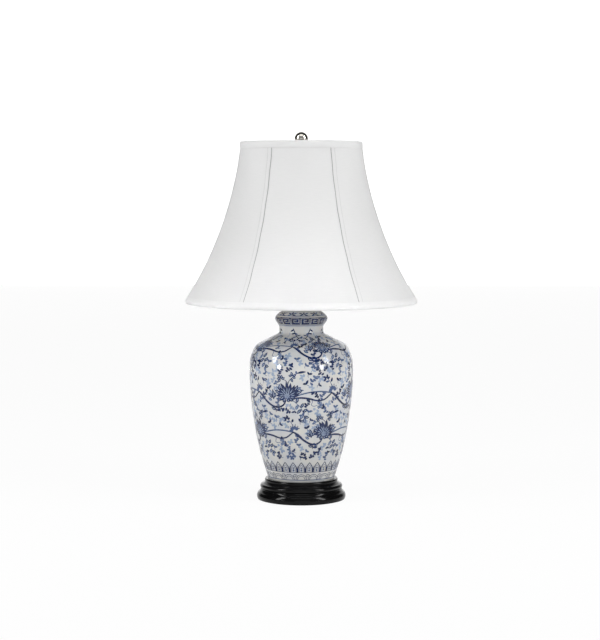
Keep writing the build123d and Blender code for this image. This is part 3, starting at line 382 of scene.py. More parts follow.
solder = mottled(
    "dull_solder", (0.36, 0.36, 0.35), (0.52, 0.52, 0.50), scale=400.0,
    bump=0.0001, bump_scale=500.0, rough=(0.35, 0.5), Metallic=1.0,
)
phenolic = mottled(
    "black_phenolic", (0.012, 0.012, 0.013), (0.022, 0.021, 0.020), scale=120.0,
    bump=0.00002, bump_scale=700.0, rough=(0.22, 0.34),
)
rubbery = mottled(
    "black_moulding", (0.016, 0.016, 0.016), (0.026, 0.026, 0.025), scale=160.0,
    bump=0.00003, bump_scale=800.0, rough=(0.42, 0.55),
)
felt = mottled(
    "black_felt", (0.010, 0.010, 0.010), (0.028, 0.028, 0.028), scale=500.0,
    bump=0.0003, bump_scale=1200.0, Roughness=0.95, Sheen_Weight=0.3,
)
pressed_board = mottled(
    "pressed_board", (0.24, 0.19, 0.13), (0.34, 0.28, 0.20), scale=220.0,
    bump=0.0001, bump_scale=900.0, Roughness=0.85,
)
white_enamel = mottled(
    "white_enamel", (0.72, 0.72, 0.70), (0.80, 0.80, 0.78), scale=60.0,
    bump=0.00003, bump_scale=500.0, rough=(0.3, 0.42),
)
frosted_glass = mottled(
    "frosted_glass", (0.86, 0.86, 0.84), (0.90, 0.90, 0.88), scale=40.0,
    bump=0.00002, bump_scale=900.0, rough=(0.34, 0.42),
)
black_glass = mottled(
    "black_glass", (0.010, 0.008, 0.016), (0.018, 0.014, 0.026), scale=80.0, rough=(0.08, 0.14),
)

FINISHES = (
    (felt, ["base_pad"]),
    (lacquer, ["wood_base"]),
    (rubbery, ["cord_bushing"]),
    (plated_steel, ["base_washer", "lock_washer", "base_nut", "lamp_pipe", "set_screw"]),
    (polished_nickel, [
        "vase_cap", "neck_tube", "check_ring", "harp_saddle", "harp", "harp_sleeve_left", "harp_sleeve_right",
    ]),
    (bright_brass, [
        "socket_cap", "socket_shell", "terminal_screws", "centre_contact", "switch_spindle", "swivel_stud",
    ]),
    (pressed_board, ["socket_liner"]),
    (phenolic, ["socket_body", "switch_knob"]),
    (aluminium, ["screw_shell", "bulb_base"]),
    (solder, ["bulb_contact"]),
    (black_glass, ["bulb_insulator"]),
    (frosted_glass, ["bulb_glass"]),
    (white_enamel, [
        "top_ring", "bottom_ring", "shade_ribs", "spider_hub", "spider_arm_1", "spider_arm_2", "spider_arm_3",
    ]),
)
for finish, node_names in FINISHES:
    for node_name in node_names:
        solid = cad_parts[node_name]
        solid.data.materials.clear()
        solid.data.materials.append(finish)

# ---------------------------------------------------------------- modelling tools


def finish_piece(piece, name, material, body, nodes=(), angle=35):
    """Name, finish, smoothing, body and the CAD nodes that the piece stands for."""
    piece.name = name
    piece.data.name = name
    piece.data.materials.clear()
    piece.data.materials.append(material)
    deselect()
    piece.select_set(True)
    bpy.context.view_layer.objects.active = piece
    bpy.ops.object.transform_apply(location=True, rotation=True, scale=True)
    bpy.ops.object.shade_smooth_by_angle(angle=math.radians(angle))
    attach(piece, body)
    if nodes:
        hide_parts(*nodes)
    return piece


def turned(outline, steps=160):
    """A turned piece: its outline of (radius, height) in millimetres is drawn by
    extruding one vertex and then spun round the axis."""
    deselect()
    bpy.ops.mesh.primitive_plane_add(size=0.001, location=(0, 0, 0))
    piece = bpy.context.object
    bpy.ops.object.mode_set(mode="EDIT")
    bpy.ops.mesh.select_all(action="SELECT")
    bpy.ops.mesh.merge(type="CENTER")
    here = Vector((outline[0][0] * MM, 0, outline[0][1] * MM))
    bpy.ops.transform.translate(value=here)
    for radius, height in outline[1:]:
        there = Vector((radius * MM, 0, height * MM))
        bpy.ops.mesh.extrude_region_move(TRANSFORM_OT_translate={"value": there - here})
        here = there
    bpy.ops.mesh.select_all(action="SELECT")
    bpy.ops.mesh.spin(steps=steps, angle=math.tau, center=(0, 0, 0), axis=(0, 0, 1))
    bpy.ops.mesh.select_all(action="SELECT")
    bpy.ops.mesh.remove_doubles(threshold=0.000005)
    bpy.ops.mesh.select_all(action="SELECT")
    bpy.ops.mesh.normals_make_consistent(inside=False)
    bpy.ops.object.mode_set(mode="OBJECT")
    return piece


def smooth_run(points, start=None, end=None, step=2.0):
    """A smooth line through the points, given its directions at both ends."""
    line = [Vector(p) for p in points]
    slopes = []
    for index in range(len(line)):
        if index == 0:
            slope = Vector(start).normalized() if start else (line[1] - line[0]).normalized()
        elif index == len(line) - 1:
            slope = Vector(end).normalized() if end else (line[-1] - line[-2]).normalized()
        else:
            before = line[index] - line[index - 1]
            after = line[index + 1] - line[index]
            slope = (before / before.length * after.length + after / after.length * before.length)
            slope = slope.normalized()
        slopes.append(slope)
    out = [line[0]]
    for index in range(len(line) - 1):
        a, b = line[index], line[index + 1]
        span = (b - a).length
        count = max(2, round(span / step))
        for tick in range(1, count + 1):
            t = tick / count
            out.append(
                a * (2 * t ** 3 - 3 * t ** 2 + 1)
                + slopes[index] * span * (t ** 3 - 2 * t ** 2 + t)
                + b * (3 * t ** 2 - 2 * t ** 3)
                + slopes[index + 1] * span * (t ** 3 - t ** 2)
            )
    return out


def arc_run(start, through, end, count=8):
    """Points on the arc through three points, the first left out."""
    (x1, y1), (x2, y2), (x3, y3) = start, through, end
    d = 2 * (x1 * (y2 - y3) + x2 * (y3 - y1) + x3 * (y1 - y2))
    s1, s2, s3 = x1 ** 2 + y1 ** 2, x2 ** 2 + y2 ** 2, x3 ** 2 + y3 ** 2
    cx = (s1 * (y2 - y3) + s2 * (y3 - y1) + s3 * (y1 - y2)) / d
    cy = (s1 * (x3 - x2) + s2 * (x1 - x3) + s3 * (x2 - x1)) / d
    radius = math.hypot(x1 - cx, y1 - cy)
    first = math.atan2(y1 - cy, x1 - cx)
    middle = (math.atan2(y2 - cy, x2 - cx) - first) % math.tau
    last = (math.atan2(y3 - cy, x3 - cx) - first) % math.tau
    if middle > last:
        last -= math.tau
    return [
        (
            cx + radius * math.cos(first + last * tick / count),
            cy + radius * math.sin(first + last * tick / count),
        )
        for tick in range(1, count + 1)
    ]


# ---------------------------------------------------------------- jar

JAR_FOOT = 37.0
JAR_TOP = 356.0
JAR_WALL = 6.0
JAR_TOP_FLAT = 26.0
JAR_TOP_HOLE = 11.0
JAR_FLOOR_HOLE = 6.5
JAR_FLOOR = 8.0
# radius, and height above the foot, below the belly
JAR_PROFILE = ((61.5, 0.0), (66.2, 16.8), (77.4, 54.6), (88.5, 111.3))
BELLY = (96.8, JAR_FOOT + 205.0)
SHOULDER = (90.9, JAR_FOOT + 241.0)
SLOPE = (80.6, JAR_FOOT + 255.3)
SLOPE_ANGLE = math.radians(27.0)
NECK_R = 41.3
NECK_BOTTOM = JAR_FOOT + 278.5
NECK_TOP = NECK_BOTTOM + 7.5
LIP = (48.9, NECK_TOP + 17.0)
DOME = (40.6, LIP[1] + 10.5)
SLOPE_RUN = (SLOPE[0] - NECK_R) * 0.78


def jar_side(inset, step):
    """The jar's side from the foot to the dome's flat top, pushed inward by inset."""
    down_slope = (-math.cos(SLOPE_ANGLE), math.sin(SLOPE_ANGLE))
    slope_start = (SLOPE[0] - inset, SLOPE[1] - inset * 0.6)
    slope_end = (slope_start[0] - SLOPE_RUN, slope_start[1] + SLOPE_RUN * math.tan(SLOPE_ANGLE))
    belly = (BELLY[0] - inset, BELLY[1])
    neck_low = (NECK_R - inset, NECK_BOTTOM)
    neck_high = (NECK_R - inset, NECK_TOP)
    lip = (LIP[0] - inset, LIP[1])
    side = smooth_run(
        [(radius - inset, JAR_FOOT + height) for radius, height in JAR_PROFILE] + [belly],
        (0.1, 1), (0, 1), step,
    )
    side += smooth_run([belly, (SHOULDER[0] - inset, SHOULDER[1]), slope_start], (0, 1), down_slope, step)[1:]
    side += smooth_run([slope_start, slope_end], down_slope, down_slope, step)[1:]
    side += smooth_run([slope_end, neck_low], down_slope, (0, 1), step)[1:]
    side += smooth_run([neck_low, neck_high], (0, 1), (0, 1), step)[1:]
    side += smooth_run([neck_high, lip], (0, 1), (0, 1), step)[1:]
    side += smooth_run(
        [lip, (DOME[0] - inset, DOME[1] - inset * 0.8), (JAR_TOP_FLAT - inset, JAR_TOP - inset)],
        (0, 1), (-1, 0), step,
    )[1:]
    return side


outside = jar_side(0, 2.0)
inside = jar_side(JAR_WALL, 8.0)
inside_floor = JAR_FOOT + JAR_FLOOR
inside = [p for p in inside if p[1] > inside_floor + 2]
jar_outline = (
    [(JAR_FLOOR_HOLE, JAR_FOOT), (34.0, JAR_FOOT), (60.8, JAR_FOOT)]
    + [(p[0], p[1]) for p in outside]
    + [(JAR_TOP_HOLE, JAR_TOP), (JAR_TOP_HOLE, JAR_TOP - JAR_WALL)]
    + [(p[0], p[1]) for p in reversed(inside)]
    + [(inside[0][0] - 1.0, inside_floor), (JAR_FLOOR_HOLE, inside_floor), (JAR_FLOOR_HOLE, JAR_FOOT)]
)
finish_piece(turned(jar_outline, 192), "jar_body", glaze, "lamp", ["jar"])

# ---------------------------------------------------------------- brush work on the jar

# A stroke is a list of (angle in degrees, distance along the side in mm, half width in mm).
# The side's distances start at the foot, and angles run to the right from the front.

side_length = [0.0]
for low, high in zip(outside, outside[1:]):
    side_length.append(side_length[-1] + (high - low).length)


def on_side(distance):
    """Radius, height and outward direction of the jar's side at a distance along it."""
    distance = min(max(distance, 0.0), side_length[-1] - 0.001)
    low, high = 0, len(side_length) - 1
    while high - low > 1:
        middle = (low + high) // 2
        if side_length[middle] <= distance:
            low = middle
        else:
            high = middle
    share = (distance - side_length[low]) / (side_length[low + 1] - side_length[low])
    point = outside[low].lerp(outside[low + 1], share)
    ahead = (outside[min(low + 2, len(outside) - 1)] - outside[max(low - 1, 0)]).normalized()
    return point[0], point[1], (ahead[1], -ahead[0])


def side_at(height):
    """Distance along the side of the first point at a height."""
    for index, point in enumerate(outside):
        if point[1] >= height:
            return side_length[index]
    return side_length[-1]


def jar_point(angle, distance, lift):
    radius, height, (out, up) = on_side(distance)
    turn = math.radians(angle)
    reach = radius + out * lift
    return Vector((math.sin(turn) * reach, -math.cos(turn) * reach, height + up * lift)) * MM


BRUSH_DEPTH = 0.12


class Tone:
    """One strength of colour: all its brush strokes become one piece."""

    def __init__(self, name, material, lift):
        self.name = name
        self.material = material
        self.lift = lift
        self.strokes = []

    def build(self):
        """Each stroke is a thin closed ribbon that follows the glaze."""
        mesh = bpy.data.meshes.new(self.name)
        form = bmesh.new()
        for stroke in self.strokes:
            rings = []
            for index, (angle, distance, half) in enumerate(stroke):
                before = stroke[max(index - 1, 0)]
                after = stroke[min(index + 1, len(stroke) - 1)]
                radius = on_side(distance)[0]
                run = math.radians(after[0] - before[0]) * radius
                rise = after[1] - before[1]
                length = math.hypot(run, rise) or 1.0
                across = (-rise / length * half, run / length * half)
                ring = []
                for side, lift in ((1, self.lift), (-1, self.lift), (-1, -BRUSH_DEPTH), (1, -BRUSH_DEPTH)):
                    ring.append(form.verts.new(jar_point(
                        angle + math.degrees(side * across[0] / radius),
                        distance + side * across[1],
                        lift,
                    )))
                rings.append(ring)
            for ring, following in zip(rings, rings[1:]):
                for corner in range(4):
                    beside = (corner + 1) % 4
                    form.faces.new((ring[corner], ring[beside], following[beside], following[corner]))
            form.faces.new(reversed(rings[0]))
            form.faces.new(rings[-1])
        bmesh.ops.recalc_face_normals(form, faces=form.faces)
        form.to_mesh(mesh)
        form.free()
        piece = bpy.data.objects.new(self.name, mesh)
        bpy.context.collection.objects.link(piece)
        finish_piece(piece, self.name, self.material, "lamp")


# Each tone stands a little higher than those that it is painted over.
wash = Tone("painting_wash", cobalt_wash, 0.05)
middle = Tone("painting_middle", cobalt_middle, 0.09)
deep = Tone("painting_deep", cobalt_deep, 0.13)
reserve = Tone("painting_reserve", glaze, 0.17)
wash_over = Tone("painting_petal_light", cobalt_wash, 0.17)
deep_over = Tone("painting_dots", cobalt_deep, 0.21)

NECK_LINE = side_at(325.0)
BRUSH_SEED = 7
GAP_SEED = 11
chance = random.Random(BRUSH_SEED)


class Row:
    """One row of the scroll: four repeats, each drawn in millimetres from its flower."""

    REPEAT = 149.0
    BOLD = 1.28
    THINNEST = 0.16

    def __init__(self, height, first_angle, rise):
        self.start = side_at(height)
        self.first_angle = first_angle
        self.rise = rise

    def draw(self, tone, points, step=2.6):
        """A brush line through (x, y, width) points, smoothed, on all four repeats."""
        line = smooth_run([(x, y, width * self.BOLD) for x, y, width in points], step=step)
        for repeat in range(4):
            angle = self.first_angle + 90 * repeat
            stroke = [
                (angle + x / self.REPEAT * 90, self.start + y * self.rise, max(width, self.THINNEST) / 2)
                for x, y, width in line
            ]
            if max(distance for _, distance, _ in stroke) < NECK_LINE - 1:
                tone.strokes.append(stroke)

    def leaf(self, tone, x, y, direction, length, width, bend=0.0):
        """A pointed leaf from (x, y) along a direction in degrees; a broad dark one has a pale core."""
        turn = math.radians(direction + chance.uniform(-7, 7))
        length *= chance.uniform(1.1, 1.35)
        width *= 1.25
        points = []
        for share, full in ((0.0, 0.25), (0.25, 0.85), (0.5, 1.0), (0.75, 0.7), (1.0, 0.02)):
            swing = turn + math.radians(bend) * (share - 0.3)
            points.append((
                x + math.cos(swing) * length * share, y + math.sin(swing) * length * share, width * full,
            ))
        self.draw(tone, points, step=length / 7)
        if tone in (middle, deep) and 3.6 < width < 4.7:
            core = [(px, py, full * 0.26) for px, py, full in points[1:4]]
            self.draw(wash_over, core, step=length / 7)

    def sprig(self, tone, x, y, direction, size, count=5):
        """A small spray of leaves round the end of a stem."""
        for index in range(count):
            swing = (index - (count - 1) / 2) * (250 / count)
            reach = size * (1.0 if abs(swing) < 40 else 0.8)
            turn = math.radians(direction + swing)
            self.leaf(
                tone, x + math.cos(turn) * 0.9, y + math.sin(turn) * 0.9,
                direction + swing, reach, size * 0.42, 20,
            )

    def pair(self, tone, x, y, direction, size):
        """Two small leaves that spread from a short stem."""
        turn = math.radians(direction + 190)
        stem = tone if tone is wash else middle
        self.draw(stem, [
            (x, y, 0.8),
            (x + math.cos(turn) * 2.6, y + math.sin(turn) * 2.6, 0.8),
            (x + math.cos(turn + 0.5) * 5.4, y + math.sin(turn + 0.5) * 5.4, 0.5),
        ])
        self.leaf(tone, x, y, direction - 32, size, size * 0.40, -25)
        self.leaf(tone, x, y, direction + 46, size * 0.8, size * 0.38, 25)

    def spray(self, tone, x, y, direction, length):
        """A curved stem with leaves on both sides and one at its tip."""
        turn = math.radians(direction)
        bend = chance.choice((-0.5, 0.5))
        points = []
        for share in (0.0, 0.33, 0.66, 1.0):
            swing = turn + bend * (share - 0.5)
            x_way, y_way = math.cos(swing) * length, math.sin(swing) * length
            points.append((x + x_way * (share - 0.5), y + y_way * (share - 0.5), 0.85))
        self.draw(tone if tone is wash else middle, points)
        for number, (px, py, _) in enumerate(points):
            side = 1 if number % 2 else -1
            self.leaf(tone, px, py, direction + side * 58, length * 0.36, 2.5, side * 20)
            if number in (1, 3):
                self.leaf(tone, px, py, direction - side * 50, length * 0.30, 2.2, -side * 20)
        tip_x, tip_y, _ = points[-1]
        self.leaf(tone, tip_x, tip_y, direction + math.degrees(bend) * 0.5, length * 0.42, 2.6)

    def flower(self):
        """A lotus head: a fan of pointed petals round a dotted centre, with its calyx."""
        petals = (
            (-18, 16), (5, 19), (27, 21), (48, 23), (69, 24), (90, 25), (111, 24), (132, 23),
            (154, 21), (177, 18), (204, 15), (-44, 13), (236, 12), (-74, 11),
        )
        for direction, length in petals:
            turn = math.radians(direction)
            along, up = math.cos(turn), math.sin(turn)
            self.leaf(deep, along * 5.2, up * 4.6, direction, (length - 4.0) * 0.92, 4.1, 14)
            self.leaf(wash_over, along * 7.2, up * 6.4, direction, length * 0.34, 1.0, 10)
        for direction in range(0, 360, 45):
            turn = math.radians(direction)
            along, up = math.cos(turn), math.sin(turn)
            self.leaf(middle, along * 2.6, 1.0 + up * 2.2, direction, 5.0, 2.6, 12)
            self.leaf(wash_over, along * 3.4, 1.0 + up * 3.0, direction + 20, 3.0, 1.0, 12)
        self.draw(wash_over, [(-4.2, 1.0, 2.4), (0.0, 1.0, 5.4), (4.2, 1.0, 2.4)], 1.2)
        for x, y in (
            (-2.6, 2.2), (0.2, 3.0), (2.6, 1.8), (-1.2, -0.4), (1.6, -0.6), (-3.8, 0.2), (3.9, 0.0), (0.1, 1.2),
        ):
            self.draw(deep_over, [(x - 0.6, y, 0.5), (x, y, 1.3), (x + 0.6, y, 0.5)], 0.6)

    def repeat_unit(self):
        """Everything between one flower and the next."""
        self.flower()
        # the vine: a lens of two lines, a crossing, and a dip into the next flower
        self.draw(deep, [
            (10, -5, 1.4), (22, -3.2, 2.5), (40, -4.6, 2.7), (57, -8.6, 2.3), (71, -6.5, 2.1),
            (80, 0, 2.0), (86, 5, 1.6),
        ])
        self.draw(middle, [(12, -2, 1.3), (28, 3.6, 1.9), (48, 7.6, 2.0), (66, 7.8, 2.0), (86, 4.6, 1.9)])
        self.draw(deep, [
            (85, 5.4, 1.8), (96, -3, 2.7), (108, -13, 3.0), (121, -20, 2.8), (133, -21, 2.5),
            (142, -16.5, 2.4), (147, -8, 2.0),
        ])
        self.draw(middle, [(80, 6.5, 0.8), (92, 3.0, 1.0), (103, -6, 1.0)])
        # floret on the crossing
        for swing in range(-70, 110, 22):
            turn = math.radians(90 + swing)
            tone = middle if swing % 44 else deep
            x, y = 88 + math.cos(turn) * 2, 8.5 + math.sin(turn) * 2
            self.leaf(tone, x, y, 90 + swing, 6.4, 2.6, 10)
        self.leaf(wash, 85, 9.0, 90, 6.0, 6.0)
        for x, y in ((81, 16), (85, 19.4), (90, 19.8), (95, 16.8), (97.5, 12.5)):
            self.draw(deep, [(x - 0.9, y, 0.8), (x, y, 2.2), (x + 0.9, y, 0.8)], 0.8)
        self.draw(middle, [(86, 16, 0.9), (82, 24, 0.9), (76, 31, 0.8)])
        self.sprig(deep, 74, 31, 110, 6.4, 4)
        self.leaf(deep, 83, 25, 60, 6.5, 2.6, 20)
        self.leaf(middle, 79, 27, 200, 6.0, 2.4, -20)
        # tendril under the lens
        self.draw(middle, [(45, -5.5, 1.0), (47, -11, 1.0), (45, -16.5, 0.9), (50, -19, 0.9), (57, -17, 0.8)])
        self.sprig(middle, 60, -17.0, 0, 7.2, 5)
        self.leaf(wash, 52, -22, 250, 5.0, 3.4)
        self.leaf(deep, 60, -12, 90, 6.4, 2.6)
        # dark sprig under the dip
        self.draw(deep, [(126, -21, 1.0), (126, -25, 1.4), (126, -31, 0.7)])
        self.leaf(deep, 126, -25.5, 172, 8.5, 3.4, -20)
        self.leaf(deep, 126, -26.5, -8, 9.5, 2.8, 16)
        self.leaf(middle, 126, -22.5, 40, 5.0, 2.6)
        # stem and leafy sprays above the flower
        self.draw(deep, [(1, 14, 1.0), (2.2, 22, 1.1), (5, 29, 1.0), (11, 35, 0.8)])
        self.draw(deep, [(2.5, 23, 0.9), (-3, 29, 0.9), (-9, 31, 0.7)])
        self.sprig(deep, -11, 31, 120, 7.6, 5)
        self.leaf(middle, -17, 26, 200, 6.0, 3.0)
        self.sprig(deep, 10, 36, 60, 7.0, 4)
        self.leaf(deep, 9, 33, -80, 6.5, 3.0, 20)
        self.draw(middle, [(12, 37, 0.8), (18, 41, 0.7), (24, 43, 0.7)])
        self.leaf(deep, 19, 42, 14, 13.0, 2.7, -10)
        self.leaf(middle, 18, 41, 100, 5.0, 2.4)
        # cascade to the right of the flower
        self.draw(middle, [(11, -8, 1.1), (18, -14, 1.1), (26, -22, 0.9), (30, -31, 0.9), (33, -39, 0.7)])
        for x, y, direction, tone in (
            (17, -12, 62, deep), (21, -17, 230, middle), (25, -21, 40, deep), (27, -25, 205, deep),
            (29, -29, 28, deep), (31, -34, 220, middle), (32, -37, 330, deep), (33, -40, 268, middle),
        ):
            self.leaf(tone, x, y, direction, 8.6, 3.6, 20)
        # long dark leaves beside the flower
        for x, y, direction, length in (
            (-27, -7, 88, 15), (-30, -5, 124, 9), (-25, -3, 60, 8), (-14, 3, 128, 10), (13, 10, 38, 10),
            (15, 5, 16, 11),
        ):
            self.leaf(deep, x, y, direction, length, 3.6, 18)
        for x, y, direction, length in ((-31, -9, 160, 8), (-14, 10, 104, 10), (18, 10, 52, 9)):
            self.leaf(middle, x, y, direction, length, 3.2, -18)
        # loose leaves between
        for x, y, direction, size, tone in (
            (36, 22, 120, 7.0, deep), (52, 33, 70, 7.5, middle), (100, 26, 60, 7.5, deep),
            (113, 12, 100, 7.0, deep), (70, -22, 150, 6.5, deep), (96, -24, 80, 6.5, middle),
            (104, 38, 110, 6.5, middle), (-14, -24, 200, 6.0, middle), (40, -30, 60, 6.5, middle),
            (112, -36, 40, 6.0, middle), (58, 20, 20, 5.5, deep), (128, 22, 130, 6.0, middle),
            (14, -28, 250, 5.5, deep), (86, -36, 110, 6.0, deep), (26, 10, 60, 4.5, middle),
            (122, -2, 60, 6.0, middle),
        ):
            self.pair(tone, x, y, direction, size)
        for x, y, direction, size in (
            (44, 14, 40, 6.0), (64, 28, 100, 7.0), (108, 22, 20, 7.5), (118, 2, 140, 7.0),
            (78, -14, 300, 6.5), (100, -30, 10, 6.0), (30, 34, 160, 6.0), (60, -32, 210, 7.0),
            (-22, 12, 90, 5.0), (136, 14, 60, 5.5),
        ):
            self.sprig(wash, x, y, direction, size, 4)


ROWS = (Row(288.7, 27.0, 0.92), Row(202.9, -16.0, 1.0), Row(131.5, 28.5, 0.92))
for row in ROWS:
    row.repeat_unit()


def fill_gaps(low, high, tries, clear):
    """Small sprays and leaf pairs wherever a guessed place is clear of all strokes by clear mm."""
    taken = []
    for tone in (wash, middle, deep):
        for stroke in tone.strokes:
            for angle, distance, _ in stroke[::3]:
                taken.append((angle % 90, distance))
    guess = random.Random(GAP_SEED)
    for _ in range(tries):
        angle = guess.uniform(0, 90)
        distance = guess.uniform(low, high)
        radius = on_side(distance)[0]
        open_ground = True
        for other_angle, other_distance in taken:
            rise = other_distance - distance
            if abs(rise) > clear:
                continue
            apart = abs(other_angle - angle)
            apart = math.radians(min(apart, 90 - apart)) * radius
            if apart * apart + rise * rise < clear * clear:
                open_ground = False
                break
        if not open_ground:
            continue
        row = min(ROWS, key=lambda one: abs(one.start - distance))
        x = ((angle - row.first_angle) % 90) / 90 * Row.REPEAT
        y = (distance - row.start) / row.rise
        tone = guess.choice((wash, middle, deep, middle, deep))
        direction = guess.uniform(20, 160)
        if guess.random() < 0.75:
            row.spray(tone, x, y, direction, guess.uniform(11.0, 14.0))
            swing = math.radians(direction)
            for along in (-5, 5):
                taken.append((
                    (angle + math.degrees(math.cos(swing) * along / radius)) % 90,
                    distance + math.sin(swing) * along,
                ))
        else:
            row.pair(tone, x, y, direction, guess.uniform(5.4, 7.0))
        taken.append((angle, distance))


fill_gaps(side_at(86.0), side_at(302.0), 2400, 6.3)


def side_stroke(tone, angle, distance, points, step=1.6):
    """A brush line in true millimetres from a place on the side."""
    stroke = []
    for x, y, width in smooth_run(points, step=step):
        radius = on_side(distance + y)[0]
        stroke.append((angle + math.degrees(x / radius), distance + y, max(width, Row.THINNEST) / 2))
    tone.strokes.append(stroke)


def side_leaf(tone, angle, distance, x, y, direction, length, width):
    """A pointed leaf in true millimetres from a place on the side."""
    way = (math.cos(math.radians(direction)), math.sin(math.radians(direction)))
    side_stroke(tone, angle, distance, [
        (x + way[0] * length * share, y + way[1] * length * share, width * full)
        for share, full in ((0, 0.25), (0.3, 0.9), (0.55, 1.0), (0.8, 0.6), (1, 0.03))
    ])


# leafy sprays that climb the neck
NECK_SPRAYS = 8
for unit in range(NECK_SPRAYS):
    angle = unit * 360 / NECK_SPRAYS + 24
    top = NECK_LINE - 1.0
    lean = 1 if unit % 2 else -1
    side_stroke(deep, angle, top, [
        (0, -1, 1.6), (lean * 3.5, -9, 1.9), (lean * 9, -18, 1.7), (lean * 16, -26, 1.3),
    ])
    for x, y, direction, length, width, tone in (
        (1, -3, 210, 7.5, 3.0, deep), (3, -9, 330, 8.0, 3.0, middle), (4, -10, 190, 8.0, 3.2, deep),
        (8, -16, 20, 7.5, 3.0, deep), (9, -18, 220, 8.5, 3.2, middle), (13, -23, 350, 7.0, 2.8, deep),
        (15, -25, 250, 7.5, 2.8, deep), (-6, -14, 100, 6.0, 2.4, wash), (-9, -20, 60, 6.0, 2.6, wash),
    ):
        turned_way = direction if lean > 0 else 180 - direction
        side_leaf(tone, angle, top, lean * x, y, turned_way, length, width)


RING_TICKS = 160


def ring(tone, distance, half):
    """A painted line right round the jar."""
    tone.strokes.append([
        (-180 + 360 * tick / RING_TICKS, distance, half) for tick in range(RING_TICKS + 1)
    ])


# the key band on the lip: a dark ground with the key left in white
KEY_LOW = side_at(330.6)
KEY_HIGH = side_at(342.6)
KEY_RISE = KEY_HIGH - KEY_LOW
KEY_UNITS = 16
KEY_STRIPS = 8
KEY_HALF = 0.36
KEY_OVER = math.degrees(KEY_HALF / 45.0)
strip_half = KEY_RISE / KEY_STRIPS / 2
for strip in range(KEY_STRIPS):
    ring(deep, KEY_LOW + (2 * strip + 1) * strip_half, strip_half + 0.02)
KEY_PATH = ((0, 0.1), (0, 0.88), (0.76, 0.88), (0.76, 0.34), (0.26, 0.34), (0.26, 0.62), (0.52, 0.62))
KEY_LINK = ((0, 0.1), (-0.12, 0.1), (-0.12, 0.88))
unit_angle = 360 / KEY_UNITS
for unit in range(KEY_UNITS):
    for path in (KEY_PATH, KEY_LINK):
        for (x1, y1), (x2, y2) in zip(path, path[1:]):
            ends = [
                [unit_angle * (unit + x), KEY_LOW + y * KEY_RISE, KEY_HALF] for x, y in ((x1, y1), (x2, y2))
            ]
            # each run goes past its corners by half its width
            way = 1 if (x2 > x1 or y2 > y1) else -1
            part, over = (0, KEY_OVER) if abs(x2 - x1) > abs(y2 - y1) else (1, KEY_HALF)
            ends[0][part] -= over * way
            ends[1][part] += over * way
            reserve.strokes.append([
                tuple(ends[0][k] + (ends[1][k] - ends[0][k]) * tick / 5 for k in range(3)) for tick in range(6)
            ])
ring(middle, side_at(345.4), 0.7)
ring(middle, side_at(328.0), 0.65)
ring(wash, side_at(326.2), 0.35)

# leaves on the dome
DOME_LEAVES = ((-28, 11.0, deep), (24, 12.0, middle), (158, 10.0, deep), (205, 8.5, middle), (80, 7.0, deep))
DOME_LINE = side_at(349.2)
DOME_R = 42.0
for unit in range(12):
    angle = unit * 30 + 6
    for swing, reach, tone in DOME_LEAVES:
        turn = math.radians(swing)
        tone.strokes.append([
            (
                angle + math.degrees(math.cos(turn) * reach * share / DOME_R),
                DOME_LINE + math.sin(turn) * reach * share,
                half,
            )
            for share, half in ((0.06, 0.3), (0.28, 1.1), (0.52, 1.3), (0.8, 0.8), (1.0, 0.1))
        ])

# pointed lappets round the foot
LAPPETS = 30
LAPPET_LOW = side_at(58.9)
LAPPET_RISE = 20.2
LAPPET_R = 65.0


def lappet_line(tone, angle, points):
    """A brush line of a lappet; its points are (x, y, width) from the middle of its foot."""
    tone.strokes.append([
        (angle + math.degrees(x / LAPPET_R), LAPPET_LOW + y, width / 2)
        for x, y, width in smooth_run(points, step=1.4)
    ])


for unit in range(LAPPETS):
    angle = unit * 360 / LAPPETS
    for side in (1, -1):
        lappet_line(deep, angle, [(side * 5.6, 0.2, 1.7), (side * 5.5, 6.0, 1.7), (side * 5.0, 11.0, 1.6)])
        lappet_line(deep, angle, [(side * 5.0, 11.0, 1.6), (side * 3.2, 14.8, 1.5), (0, LAPPET_RISE, 1.2)])
        lappet_line(deep, angle, [(side * 3.1, 1.0, 0.8), (side * 3.1, 6.0, 0.8), (side * 2.9, 10.0, 0.8)])
        lappet_line(middle, angle, [(side * 2.9, 10.0, 0.9), (side * 1.8, 12.8, 0.9), (0, 15.0, 0.8)])
        lappet_line(deep, angle, [(side * 6.7, 0.2, 1.6), (side * 6.7, 6.0, 1.3), (side * 6.75, 13.5, 0.3)])
    lappet_line(deep, angle, [(-1.7, 8.9, 1.0), (0, 9.4, 1.9), (1.7, 8.9, 1.0)])
    lappet_line(middle, angle, [(0, 9.0, 1.0), (0, 4.0, 1.0)])
    lappet_line(deep, angle, [(-1.5, 4.4, 0.8), (0, 4.0, 2.2), (1.5, 4.4, 0.8)])
    lappet_line(wash, angle, [(0, 1.0, 2.4), (0, 7.0, 2.4)])

ring(deep, side_at(58.2), 0.5)
ring(middle, side_at(43.0), 0.7)

# waves between the lappets and the foot: two arcs in each, and a curl between
WAVES = 18
WAVE_LOW = side_at(44.4)
WAVE_R = 62.5
WAVE_HALF = 0.50
wave_angle = 360 / WAVES
for unit in range(WAVES):
    angle = unit * 360 / WAVES
    for scale in (1.0, 0.72):
        deep.strokes.append([
            (
                angle + math.degrees(math.cos(turn) * 9.6 * scale / WAVE_R),
                WAVE_LOW + math.sin(turn) * 11.4 * scale,
                WAVE_HALF,
            )
            for turn in (math.pi * tick / 12 for tick in range(13))
        ])
    deep.strokes.append([
        (
            angle + wave_angle / 2 + math.degrees(math.cos(turn) * (3.9 - turn * 0.4) / WAVE_R),
            WAVE_LOW + 8.6 + math.sin(turn) * (3.9 - turn * 0.4),
            WAVE_HALF,
        )
        for turn in (0.4 * tick for tick in range(20))
    ])

for tone in (wash, middle, deep, reserve, wash_over, deep_over):
    tone.build()

# ---------------------------------------------------------------- finial

